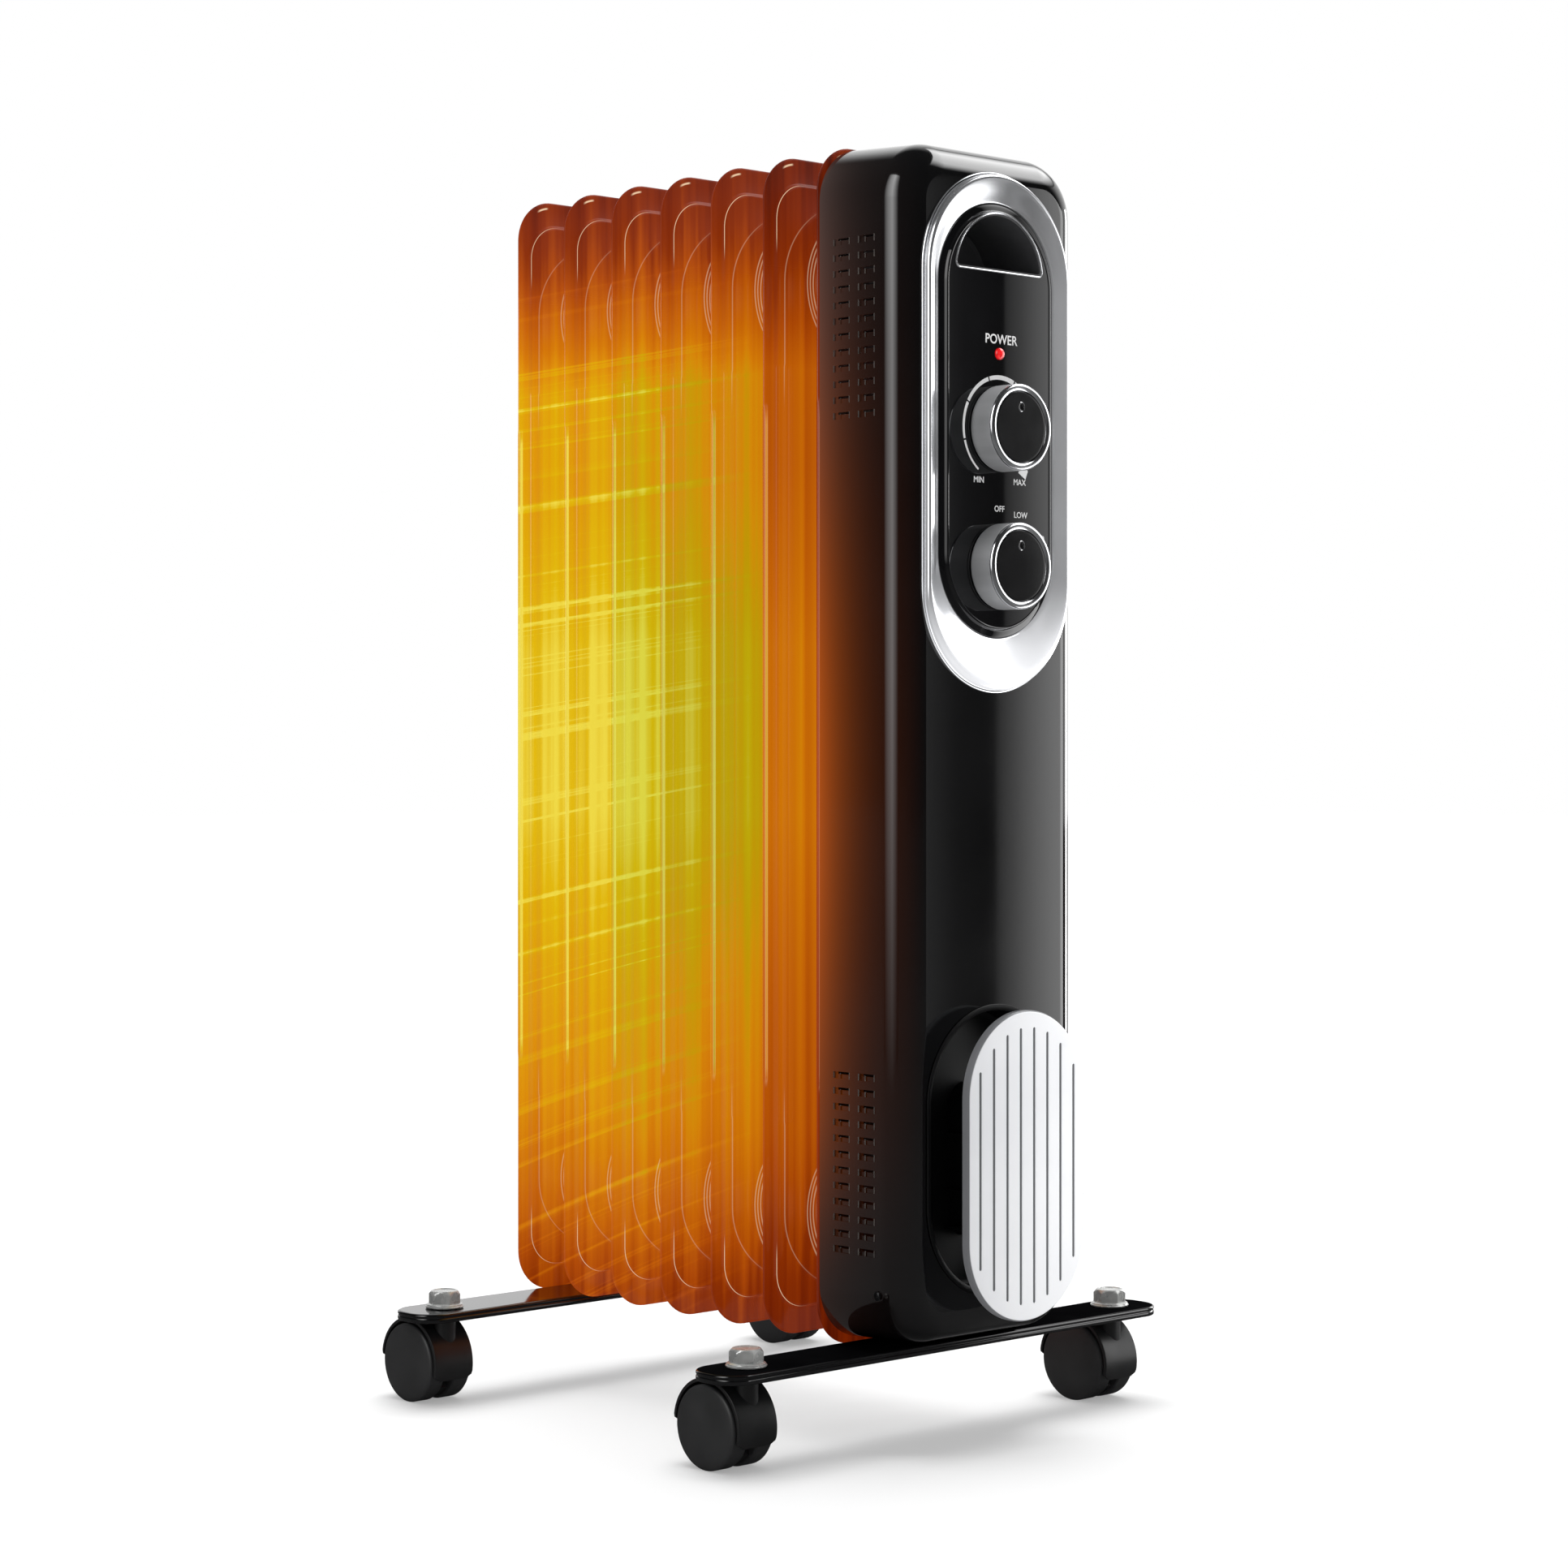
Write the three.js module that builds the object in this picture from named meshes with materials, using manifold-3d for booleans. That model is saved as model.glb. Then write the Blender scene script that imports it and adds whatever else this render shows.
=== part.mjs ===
// Oil filled radiator heater, seven fins, on four twin-wheel casters.
// Units are millimetres. X runs across the heater, Y from its control panel (-Y)
// to its last fin (+Y), and Z is up. The origin is on the floor, under the middle.
import * as THREE from 'three';
import { mergeVertices } from 'three/addons/utils/BufferGeometryUtils.js';
import Module from 'manifold-3d';

const wasm = await Module();
wasm.setup();

const GAP = 0.3;                 // clearance between neighbouring pieces

// Fins: two pressed sheets welded at a flat rim, with the oil between them.
const FIN_COUNT = 7;
const FIN_PITCH = 38;
const FIN_HALF_WIDTH = 62.5;
const FIN_BOTTOM = 47;
const FIN_TOP = 622.5;
const FIN_CORNER = 22;
const FIN_RIM_HALF = 0.7;        // half the rim's thickness
const FIN_BODY_HALF = 5;         // half the pressed body's thickness
const FIN_SIDE_RIM = 7;
const FIN_END_RIM = 13;
const FIN_SLOPE = 3.5;           // width of the pressed body's sloping edge
const FIN_WALL = 0.6;
const FRONT_FIN_Y = -83.75;
const REAR_FIN_Y = FRONT_FIN_Y + (FIN_COUNT - 1) * FIN_PITCH;

// Headers: the round necks that join the fins at the top and the bottom.
const HEADER_LOW_Z = 106;
const HEADER_HIGH_Z = 561.5;
const HEADER_RADIUS = 17;
const HEADER_BORE = 15.5;
const HEADER_BASE = 30;
const HEADER_NECK = 14.5;        // distance from the fin's middle to the neck
const NECK_SIDES = 10;
const HEADER_REACH = FIN_PITCH / 2 - GAP / 2;
const ELEMENT_COLLAR = 24.85;    // the front fin's longer neck, for the element
const ELEMENT_ROD = 4;
const ELEMENT_SPREAD = 7;
const ELEMENT_END_Y = 96;

// Front cover: the box in front of the fins.
const COVER_BACK_Y = FRONT_FIN_Y - FIN_RIM_HALF - GAP;
const COVER_FRONT_Y = -141;
const COVER_MID_Z = 336.1;
const COVER_BACK_HALF = { width: 62.2, height: 286.2 };
const COVER_FRONT_HALF = { width: 61.2, height: 283.2 };
const COVER_CORNER = 28;
const COVER_FILLET = 15;
const COVER_WALL = 1.6;
const VENT_ROWS = 12;
const VENT_ROW_PITCH = 7.5;
const VENT_FIRST_ROW = 156.5;    // from the cover's middle to its nearest row
const VENT_COLUMNS_Y = [-99.75, -116.55];
const VENT_LENGTH = 11;
const VENT_HEIGHT = 3.4;

// Control panel and the ring around it.
const RING_OUTER = { halfWidth: 48.5, low: 361.2, high: 607.6 };
const RING_INNER = { halfWidth: 39.9, low: 386, high: 593.9 };
const RING_RISE = 3.8;
const PANEL_EDGE = { halfWidth: 39.5, low: 386.4, high: 593.5 };
const PANEL_FACE = { halfWidth: 35, low: 390.9, high: 589 };
const PANEL_HOLE = { halfWidth: 36.5, low: 389.5, high: 590.5 };
const PANEL_BACK_Y = COVER_FRONT_Y - GAP;
const PANEL_FACE_Y = -144.3;
const HANDLE_ARC_Z = 558.8;
const HANDLE_RADIUS = 30.1;
const HANDLE_FLOOR_Z = 561;
const HANDLE_WALL = 1.5;
const HANDLE_BACK_Y = -106;
const LAMP_Z = 521.9;
const LAMP_RADIUS = 2.8;

// Knobs.
const KNOB_RADIUS = 20.6;
const KNOB_HEIGHT = 15;
const KNOB_FACE_RADIUS = 16.8;
const THERMOSTAT_Z = 486;
const MODE_Z = 420.2;
const SHAFT_RADIUS = 3;

// Cord storage: a recess, a post to wind the cord on, and the plate in front.
const RECESS = { halfWidth: 44.8, low: 73.4, high: 210.1 };
const RECESS_WALL = 1.6;
const RECESS_LIP = 1.4;
const RECESS_FLOOR_Y = -121;
const PLATE = { halfWidth: 40, low: 62.4, high: 209.6 };
const PLATE_FRONT_Y = -162.75;
const PLATE_THICKNESS = 4.8;
const PLATE_GROOVES = 8;
const PLATE_GROOVE_PITCH = 9.2;
const POST = { halfWidth: 11.5, low: 99, high: 173 };
const POST_LEDGES_Z = [104, 121.8, 148.7];

// Foot bars: shallow channels, open below.
const BAR_HALF_LENGTH = 150;
const BAR_HALF_WIDTH = 16.5;
const BAR_END_RADIUS = 14;
const BAR_TOP = 48.5;
const BAR_HEIGHT = 4.8;
const BAR_SHEET = 1.8;
const BARS_Y = { front: FRONT_FIN_Y - FIN_PITCH / 2, rear: REAR_FIN_Y - FIN_PITCH / 2 };
const CLAMP_ROD = 2.5;
const CLAMP_ARCH = 20.4;
const CLAMP_LEG_END_Z = 41.5;
const CLAMP_NUT_HEIGHT = 4.2;

// Casters.
const CASTER_X = 125.7;
const AXLE_OFFSET_Y = 14.5;      // the axle trails behind the swivel
const WHEEL_RADIUS = 20;
const WHEEL_SIDES = 20;
const WHEEL_INNER_X = 3;
const WHEEL_TREAD_X = 12.6;
const WHEEL_CROWN_X = 14.7;
const AXLE_RADIUS = 2;
const HOOD_INNER = 21.3;
const HOOD_OUTER = 23;
const HOOD_HALF_WIDTH = 12;
const HOOD_WEB_HALF = 2.5;
const HOOD_FRONT_ANGLE = 109;    // degrees from straight up
const HOOD_REAR_ANGLE = 90;
const BOSS_RADIUS = 5.6;
const BOLT_RADIUS = 3.8;

// ---- Geometry helpers ----

// Turns a triangle soup into one closed solid with its faces out.
function solidFrom(geometry) {
  const bare = geometry.clone();
  bare.deleteAttribute('normal');
  bare.deleteAttribute('uv');
  const merged = mergeVertices(bare, 1e-4);
  const positions = Float32Array.from(merged.attributes.position.array);
  const triangles = Uint32Array.from(merged.index.array);
  if (signedVolume(positions, triangles) < 0) {
    for (let i = 0; i < triangles.length; i += 3) {
      const swap = triangles[i + 1];
      triangles[i + 1] = triangles[i + 2];
      triangles[i + 2] = swap;
    }
  }
  return new wasm.Manifold(new wasm.Mesh({ numProp: 3, vertProperties: positions, triVerts: triangles }));
}

function signedVolume(positions, triangles) {
  const a = new THREE.Vector3();
  const b = new THREE.Vector3();
  const c = new THREE.Vector3();
  let sum = 0;
  for (let i = 0; i < triangles.length; i += 3) {
    a.fromArray(positions, triangles[i] * 3);
    b.fromArray(positions, triangles[i + 1] * 3);
    c.fromArray(positions, triangles[i + 2] * 3);
    sum += a.dot(b.cross(c));
  }
  return sum / 6;
}

// Joins rings of equal length into a closed skin, with convex ends.
function loft(rings) {
  const size = rings[0].length;
  const positions = rings.flat().flatMap((point) => point.toArray());
  const triangles = [];
  for (let ring = 0; ring < rings.length - 1; ring += 1) {
    for (let i = 0; i < size; i += 1) {
      const next = (i + 1) % size;
      const low = ring * size;
      const high = low + size;
      triangles.push(low + i, low + next, high + next);
      triangles.push(low + i, high + next, high + i);
    }
  }
  const last = (rings.length - 1) * size;
  for (let i = 1; i < size - 1; i += 1) {
    triangles.push(0, i + 1, i);
    triangles.push(last, last + i, last + i + 1);
  }
  return meshSolid(positions, triangles);
}

// Joins rings of equal length into a closed loop, the last ring to the first.
function loopLoft(rings) {
  const size = rings[0].length;
  const positions = rings.flat().flatMap((point) => point.toArray());
  const triangles = [];
  for (let ring = 0; ring < rings.length; ring += 1) {
    const low = ring * size;
    const high = ((ring + 1) % rings.length) * size;
    for (let i = 0; i < size; i += 1) {
      const next = (i + 1) % size;
      triangles.push(low + i, low + next, high + next);
      triangles.push(low + i, high + next, high + i);
    }
  }
  return meshSolid(positions, triangles);
}

function meshSolid(positions, triangles) {
  const geometry = new THREE.BufferGeometry();
  geometry.setAttribute('position', new THREE.Float32BufferAttribute(positions, 3));
  geometry.setIndex(triangles);
  return solidFrom(geometry);
}

// Points of a rounded rectangle, as [across, up] pairs.
function roundedRectangle(halfWidth, low, high, radius, steps) {
  const corners = [
    [halfWidth - radius, high - radius, 0],
    [radius - halfWidth, high - radius, 90],
    [radius - halfWidth, low + radius, 180],
    [halfWidth - radius, low + radius, 270],
  ];
  const points = [];
  for (const [across, up, start] of corners) {
    for (let i = 0; i <= steps; i += 1) {
      const angle = THREE.MathUtils.degToRad(start + (90 * i) / steps);
      points.push([across + radius * Math.cos(angle), up + radius * Math.sin(angle)]);
    }
  }
  return points;
}

// An oval with straight sides and half-round ends.
function oval({ halfWidth, low, high }, steps) {
  const points = [];
  for (let i = 0; i <= steps; i += 1) {
    const angle = (Math.PI * i) / steps;
    points.push([halfWidth * Math.cos(angle), high - halfWidth + halfWidth * Math.sin(angle)]);
  }
  for (let i = 0; i <= steps; i += 1) {
    const angle = Math.PI + (Math.PI * i) / steps;
    points.push([halfWidth * Math.cos(angle), low + halfWidth + halfWidth * Math.sin(angle)]);
  }
  return points;
}

function grownOval({ halfWidth, low, high }, by) {
  return { halfWidth: halfWidth + by, low: low - by, high: high + by };
}

// Circle or polygon points around a middle point, as [first, second] pairs.
function ringPoints(middle, radius, sides, turn = 0) {
  const points = [];
  for (let i = 0; i < sides; i += 1) {
    const angle = ((i + turn) * 2 * Math.PI) / sides;
    points.push([middle[0] + radius * Math.cos(angle), middle[1] + radius * Math.sin(angle)]);
  }
  return points;
}

const atY = (points, y) => points.map(([x, z]) => new THREE.Vector3(x, y, z));
const atX = (points, x) => points.map(([y, z]) => new THREE.Vector3(x, y, z));
const atZ = (points, z) => points.map(([x, y]) => new THREE.Vector3(x, y, z));

const prismY = (points, from, to) => loft([atY(points, from), atY(points, to)]);
const prismX = (points, from, to) => loft([atX(points, from), atX(points, to)]);
const prismZ = (points, from, to) => loft([atZ(points, from), atZ(points, to)]);

function box(x0, x1, y0, y1, z0, z1) {
  return prismZ([[x0, y0], [x1, y0], [x1, y1], [x0, y1]], z0, z1);
}

// Stacked circles along Y: each step is [y, radius].
function turnedY(x, z, steps, sides) {
  return loft(steps.map(([y, radius]) => atY(ringPoints([x, z], radius, sides), y)));
}

// A round rod along a flat path; binormal is the direction square to its plane.
function rod(path, binormal, radius, sides) {
  const rings = path.map((point, i) => {
    const before = path[Math.max(i - 1, 0)];
    const after = path[Math.min(i + 1, path.length - 1)];
    const ahead = after.clone().sub(before).normalize();
    const aside = binormal.clone().cross(ahead).normalize();
    return ringPoints([0, 0], radius, sides, 0.5).map(([a, b]) => (
      point.clone().addScaledVector(aside, a).addScaledVector(binormal, b)
    ));
  });
  return loft(rings);
}

function union(...solids) {
  return solids.reduce((whole, next) => whole.add(next));
}

// ---- Materials ----

function material(colour, roughness, metalness) {
  return new THREE.MeshStandardMaterial({ color: colour, roughness, metalness });
}

const finEnamel = () => material(0xe07010, 0.4, 0.1);
const coverPaint = () => material(0x111113, 0.25, 0.2);
const chromeTrim = () => material(0xd8dadd, 0.12, 1);
const panelGloss = () => material(0x0b0b0d, 0.12, 0);
const recessPlastic = () => material(0x0d0d0e, 0.5, 0);
const lampRed = () => material(0xd01010, 0.2, 0);
const knobMetal = () => material(0xb9bbbd, 0.3, 1);
const plateAluminium = () => material(0xd3d5d8, 0.35, 0.9);
const barPaint = () => material(0x0a0a0b, 0.2, 0.3);
const zincSteel = () => material(0xb5b6b4, 0.35, 1);
const casterPlastic = () => material(0x141415, 0.5, 0);
const innerSteel = () => material(0x8e9092, 0.45, 1);
const innerPlastic = () => material(0xd9d4c6, 0.6, 0);

// ---- Fins ----

function finBodyRing(inset, y) {
  const outline = roundedRectangle(
    FIN_HALF_WIDTH - FIN_SIDE_RIM - inset,
    FIN_BOTTOM + FIN_END_RIM + inset,
    FIN_TOP - FIN_END_RIM - inset,
    FIN_CORNER - 4 - inset,
    2,
  );
  return atY(outline, y);
}

function finPlate(y) {
  const outline = roundedRectangle(FIN_HALF_WIDTH, FIN_BOTTOM, FIN_TOP, FIN_CORNER, 4);
  const rim = prismY(outline, y - FIN_RIM_HALF, y + FIN_RIM_HALF);
  const body = loft([
    finBodyRing(FIN_SLOPE, y - FIN_BODY_HALF),
    finBodyRing(0, y - FIN_RIM_HALF),
    finBodyRing(0, y + FIN_RIM_HALF),
    finBodyRing(FIN_SLOPE, y + FIN_BODY_HALF),
  ]);
  return rim.add(body);
}

function finOilSpace(y) {
  const depth = FIN_BODY_HALF - FIN_WALL;
  const inset = FIN_SLOPE + FIN_WALL;
  return loft([finBodyRing(inset, y - depth), finBodyRing(inset, y + depth)]);
}

// One neck, from the fin's face out to its open end. side is -1 in front, +1 behind.
function finNeck(y, z, side, reach) {
  const base = FIN_BODY_HALF - 0.2;
  const outer = turnedY(0, z, [
    [y + side * base, HEADER_BASE],
    [y + side * HEADER_NECK, HEADER_RADIUS],
    [y + side * reach, HEADER_RADIUS],
  ], NECK_SIDES);
  const inner = turnedY(0, z, [
    [y + side * (base - 1.2), HEADER_BASE - 1],
    [y + side * HEADER_NECK, HEADER_BORE],
    [y + side * (reach + 1), HEADER_BORE],
  ], NECK_SIDES);
  return { outer, inner };
}

// A shallow closed dome where a header ends.
function finEndDome(y, z, side) {
  return turnedY(0, z, [
    [y + side * (FIN_BODY_HALF - FIN_WALL), HEADER_BASE],
    [y + side * FIN_BODY_HALF, HEADER_BASE],
    [y + side * (FIN_BODY_HALF + 4), HEADER_RADIUS],
  ], NECK_SIDES);
}

function fin(index) {
  const y = REAR_FIN_Y - (index - 1) * FIN_PITCH;
  const necks = [];
  const domes = [];
  for (const z of [HEADER_LOW_Z, HEADER_HIGH_Z]) {
    if (index > 1) {
      necks.push(finNeck(y, z, 1, HEADER_REACH));
    } else {
      domes.push(finEndDome(y, z, 1));
    }
    if (index < FIN_COUNT) {
      necks.push(finNeck(y, z, -1, HEADER_REACH));
    } else if (z === HEADER_LOW_Z) {
      necks.push(finNeck(y, z, -1, ELEMENT_COLLAR));
    } else {
      domes.push(finEndDome(y, z, -1));
    }
  }
  const outside = union(finPlate(y), ...domes, ...necks.map((neck) => neck.outer));
  const inside = union(finOilSpace(y), ...necks.map((neck) => neck.inner));
  return outside.subtract(inside);
}

// The hairpin heater in the lower header, with its flange and two terminals.
function heatingElement() {
  const flangeBack = FRONT_FIN_Y - ELEMENT_COLLAR - GAP;
  const flangeFront = flangeBack - 4.5;
  const path = [new THREE.Vector3(-ELEMENT_SPREAD, flangeBack - 1, HEADER_LOW_Z)];
  for (let i = 0; i <= 4; i += 1) {
    const angle = (Math.PI * i) / 4;
    const across = -ELEMENT_SPREAD * Math.cos(angle);
    const along = ELEMENT_END_Y + ELEMENT_SPREAD * Math.sin(angle);
    path.push(new THREE.Vector3(across, along, HEADER_LOW_Z));
  }
  path.push(new THREE.Vector3(ELEMENT_SPREAD, flangeBack - 1, HEADER_LOW_Z));
  const hairpin = rod(path, new THREE.Vector3(0, 0, 1), ELEMENT_ROD, 6);
  const flange = turnedY(0, HEADER_LOW_Z, [[flangeFront, 19], [flangeBack, 19]], 6);
  const terminals = [-ELEMENT_SPREAD, ELEMENT_SPREAD].map((x) => (
    turnedY(x, HEADER_LOW_Z, [[flangeFront - 4, 1.5], [flangeFront + 1, 1.5]], 8)
  ));
  return union(flange, hairpin, ...terminals);
}

// ---- Front cover ----

// A slice of the cover at depth y, pulled in by inset on every side.
function coverRing(y, inset) {
  const part = (COVER_BACK_Y - y) / (COVER_BACK_Y - COVER_FRONT_Y);
  const halfWidth = THREE.MathUtils.lerp(COVER_BACK_HALF.width, COVER_FRONT_HALF.width, part);
  const halfHeight = THREE.MathUtils.lerp(COVER_BACK_HALF.height, COVER_FRONT_HALF.height, part);
  const outline = roundedRectangle(
    halfWidth - inset,
    COVER_MID_Z - halfHeight + inset,
    COVER_MID_Z + halfHeight - inset,
    COVER_CORNER - inset,
    4,
  );
  return atY(outline, y);
}

// The cover's outer or inner skin, with a rounded front edge.
function coverSkin(inset, backY, steps) {
  const frontY = COVER_FRONT_Y + inset;
  const fillet = COVER_FILLET - inset;
  const rings = [coverRing(backY, inset)];
  for (let i = 0; i <= steps; i += 1) {
    const angle = (Math.PI / 2) * (i / steps);
    const y = frontY + fillet * (1 - Math.sin(angle));
    rings.push(coverRing(y, inset + fillet * (1 - Math.cos(angle))));
  }
  return loft(rings);
}

function ventSlots() {
  const slots = [];
  for (const side of [-1, 1]) {
    for (let row = 0; row < VENT_ROWS; row += 1) {
      const z = COVER_MID_Z - 1.1 + side * (VENT_FIRST_ROW + row * VENT_ROW_PITCH);
      for (const y of VENT_COLUMNS_Y) {
        slots.push(box(
          -70, 70,
          y - VENT_LENGTH / 2, y + VENT_LENGTH / 2,
          z - VENT_HEIGHT / 2, z + VENT_HEIGHT / 2,
        ));
      }
    }
  }
  return union(...slots);
}

function frontCover() {
  const shell = coverSkin(0, COVER_BACK_Y, 4).subtract(coverSkin(COVER_WALL, COVER_BACK_Y + 1, 2));
  const panelHole = prismY(oval(PANEL_HOLE, 12), COVER_FRONT_Y - 5, COVER_FRONT_Y + 5);
  const recessHole = prismY(oval(grownOval(RECESS, 0.4), 12), COVER_FRONT_Y - 5, COVER_FRONT_Y + 5);
  const clampHoles = [-CLAMP_ARCH, CLAMP_ARCH].map((x) => (
    prismZ(ringPoints([x, BARS_Y.front], 4, 8), 40, 60)
  ));
  return shell
    .subtract(panelHole)
    .subtract(recessHole)
    .subtract(ventSlots())
    .subtract(union(...clampHoles));
}

// A sheet between the hot front fin and the wiring.
function heatShield() {
  const y = -92;
  const outline = roundedRectangle(59.6, COVER_MID_Z - 282.5, COVER_MID_Z + 282.5, 24, 2);
  const sheet = prismY(outline, y - 0.5, y + 0.5);
  const holes = [HEADER_LOW_Z, HEADER_HIGH_Z].map((z) => (
    prismY(ringPoints([0, z], 33, 12), y - 2, y + 2)
  ));
  return sheet.subtract(union(...holes));
}

function sideScrew(side) {
  const outline = ringPoints([-124, 76.5], 2.2, 8);
  return prismX(outline, side * 61.95, side * 62.9);
}

// ---- Control panel ----

// The dished ring around the panel, wider below than above.
function trimRing() {
  const outer = oval(RING_OUTER, 12);
  const inner = oval(RING_INNER, 12);
  const base = COVER_FRONT_Y - GAP;
  const profile = [[0, 0], [0, 1.6], [0.45, 3.4], [0.8, RING_RISE], [1, 1.8], [1, 0]];
  const rings = outer.map(([outX, outZ], i) => {
    const [inX, inZ] = inner[i];
    return profile.map(([part, rise]) => new THREE.Vector3(
      THREE.MathUtils.lerp(inX, outX, part),
      base - rise,
      THREE.MathUtils.lerp(inZ, outZ, part),
    ));
  });
  return loopLoft(rings);
}

// The handle hollow's outline: a circle cut flat across its bottom.
function handleOutline(grow) {
  const radius = HANDLE_RADIUS + grow;
  const floor = HANDLE_FLOOR_Z - grow;
  const start = Math.asin((floor - HANDLE_ARC_Z) / radius);
  const points = [];
  for (let i = 0; i <= 12; i += 1) {
    const angle = start + ((Math.PI - 2 * start) * i) / 12;
    points.push([radius * Math.cos(angle), HANDLE_ARC_Z + radius * Math.sin(angle)]);
  }
  return points;
}

function controlPanel() {
  const plate = loft([
    atY(oval(PANEL_EDGE, 12), PANEL_BACK_Y),
    atY(oval(PANEL_EDGE, 12), PANEL_BACK_Y - 0.6),
    atY(oval(PANEL_FACE, 12), PANEL_FACE_Y),
  ]);
  const front = PANEL_FACE_Y - 2;
  const back = PANEL_BACK_Y + 2;
  const handleHole = prismY(handleOutline(GAP), front, back);
  const lampHole = prismY(ringPoints([0, LAMP_Z], LAMP_RADIUS + GAP, 12), front, back);
  const shaftHoles = [THERMOSTAT_Z, MODE_Z].map((z) => (
    prismY(ringPoints([0, z], SHAFT_RADIUS + 0.8, 8), front, back)
  ));
  return plate.subtract(union(handleHole, lampHole, ...shaftHoles));
}

// The hollow that the fingers go into to pull the heater along.
function handleCup() {
  const outer = prismY(handleOutline(0), PANEL_FACE_Y + 0.3, HANDLE_BACK_Y);
  const inner = prismY(handleOutline(-HANDLE_WALL), PANEL_FACE_Y - 2, HANDLE_BACK_Y - HANDLE_WALL);
  return outer.subtract(inner);
}

function lampLens() {
  return turnedY(0, LAMP_Z, [
    [-134, LAMP_RADIUS],
    [PANEL_FACE_Y - 0.4, LAMP_RADIUS],
    [PANEL_FACE_Y - 1.4, LAMP_RADIUS * 0.8],
    [PANEL_FACE_Y - 2, LAMP_RADIUS * 0.35],
  ], 12);
}

// ---- Knobs and what they turn ----

const KNOB_BACK_Y = PANEL_FACE_Y - GAP;
const KNOB_FRONT_Y = PANEL_FACE_Y - KNOB_HEIGHT;

function knob(z) {
  const body = turnedY(0, z, [
    [KNOB_BACK_Y, KNOB_RADIUS],
    [KNOB_FRONT_Y + 1.6, KNOB_RADIUS],
    [KNOB_FRONT_Y, KNOB_RADIUS - 1.2],
  ], 24);
  const faceSeat = turnedY(0, z, [
    [KNOB_FRONT_Y - 1, KNOB_FACE_RADIUS + GAP],
    [KNOB_FRONT_Y + 1.8, KNOB_FACE_RADIUS + GAP],
  ], 24);
  const bore = turnedY(0, z, [[KNOB_BACK_Y + 1, SHAFT_RADIUS + GAP], [-153, SHAFT_RADIUS + GAP]], 8);
  return body.subtract(faceSeat).subtract(bore);
}

function knobFace(z) {
  const disc = turnedY(0, z, [
    [KNOB_FRONT_Y + 0.3, KNOB_FACE_RADIUS],
    [KNOB_FRONT_Y + 1.5, KNOB_FACE_RADIUS],
  ], 24);
  const dimple = turnedY(0, z + 9.6, [[KNOB_FRONT_Y - 1, 2], [KNOB_FRONT_Y + 1, 1.2]], 8);
  return disc.subtract(dimple);
}

function knobShaft(z) {
  return turnedY(0, z, [[-152.6, SHAFT_RADIUS], [-136.5, SHAFT_RADIUS]], 8);
}

// A switch or thermostat behind the panel, with a socket for the knob's shaft.
function controlBlock(z, halfWidth, halfHeight, backY) {
  const front = PANEL_BACK_Y + GAP + 0.1;
  const block = box(-halfWidth, halfWidth, front + 3, backY, z - halfHeight, z + halfHeight);
  const bush = turnedY(0, z, [[front, 5.5], [front + 4, 5.5]], 8);
  const socket = turnedY(0, z, [
    [front - 2, SHAFT_RADIUS + GAP],
    [-136, SHAFT_RADIUS + GAP],
  ], 8);
  return block.add(bush).subtract(socket);
}

// ---- Wiring parts on the heat shield ----

const SHIELD_FRONT_Y = -92.5 - GAP;

function terminalBlock() {
  const base = box(-24, 24, SHIELD_FRONT_Y - 14, SHIELD_FRONT_Y, 318, 338);
  const slots = [-16, -5.3, 5.3, 16].map((x) => (
    box(x - 3.5, x + 3.5, SHIELD_FRONT_Y - 16, SHIELD_FRONT_Y - 8, 322, 334)
  ));
  return base.subtract(union(...slots));
}

function tipOverSwitch() {
  const base = box(-12, 12, SHIELD_FRONT_Y - 22, SHIELD_FRONT_Y, 258, 286);
  const lid = box(-9, 9, SHIELD_FRONT_Y - 24, SHIELD_FRONT_Y - 21, 262, 282);
  return base.add(lid);
}

function thermalCutoff() {
  const can = turnedY(0, 452, [[SHIELD_FRONT_Y, 8], [SHIELD_FRONT_Y - 7, 8], [SHIELD_FRONT_Y - 10, 6]], 12);
  const ears = box(-15, 15, SHIELD_FRONT_Y - 1.5, SHIELD_FRONT_Y, 448, 456);
  return can.add(ears);
}

// ---- Cord storage ----

function cordRecess() {
  const lip = prismY(oval(grownOval(RECESS, RECESS_LIP), 12), COVER_FRONT_Y - 0.9, COVER_FRONT_Y - GAP);
  const cup = prismY(oval(RECESS, 12), COVER_FRONT_Y - 0.9, RECESS_FLOOR_Y + RECESS_WALL);
  const hollow = prismY(oval(grownOval(RECESS, -RECESS_WALL), 12), COVER_FRONT_Y - 3, RECESS_FLOOR_Y);
  const glandHole = prismY(ringPoints([25, 92], 4.4, 10), RECESS_FLOOR_Y - 2, RECESS_FLOOR_Y + 4);
  return lip.add(cup).subtract(hollow).subtract(glandHole);
}

// The column that the cord is wound on, with three ledges.
function winderPost() {
  const back = RECESS_FLOOR_Y - GAP;
  const front = PLATE_FRONT_Y + PLATE_THICKNESS + GAP;
  const column = prismY(oval(POST, 8), front, back);
  const ledges = POST_LEDGES_Z.map((z) => box(-14.5, 14.5, -150, back, z - 0.8, z + 0.8));
  return column.add(union(...ledges));
}

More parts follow.
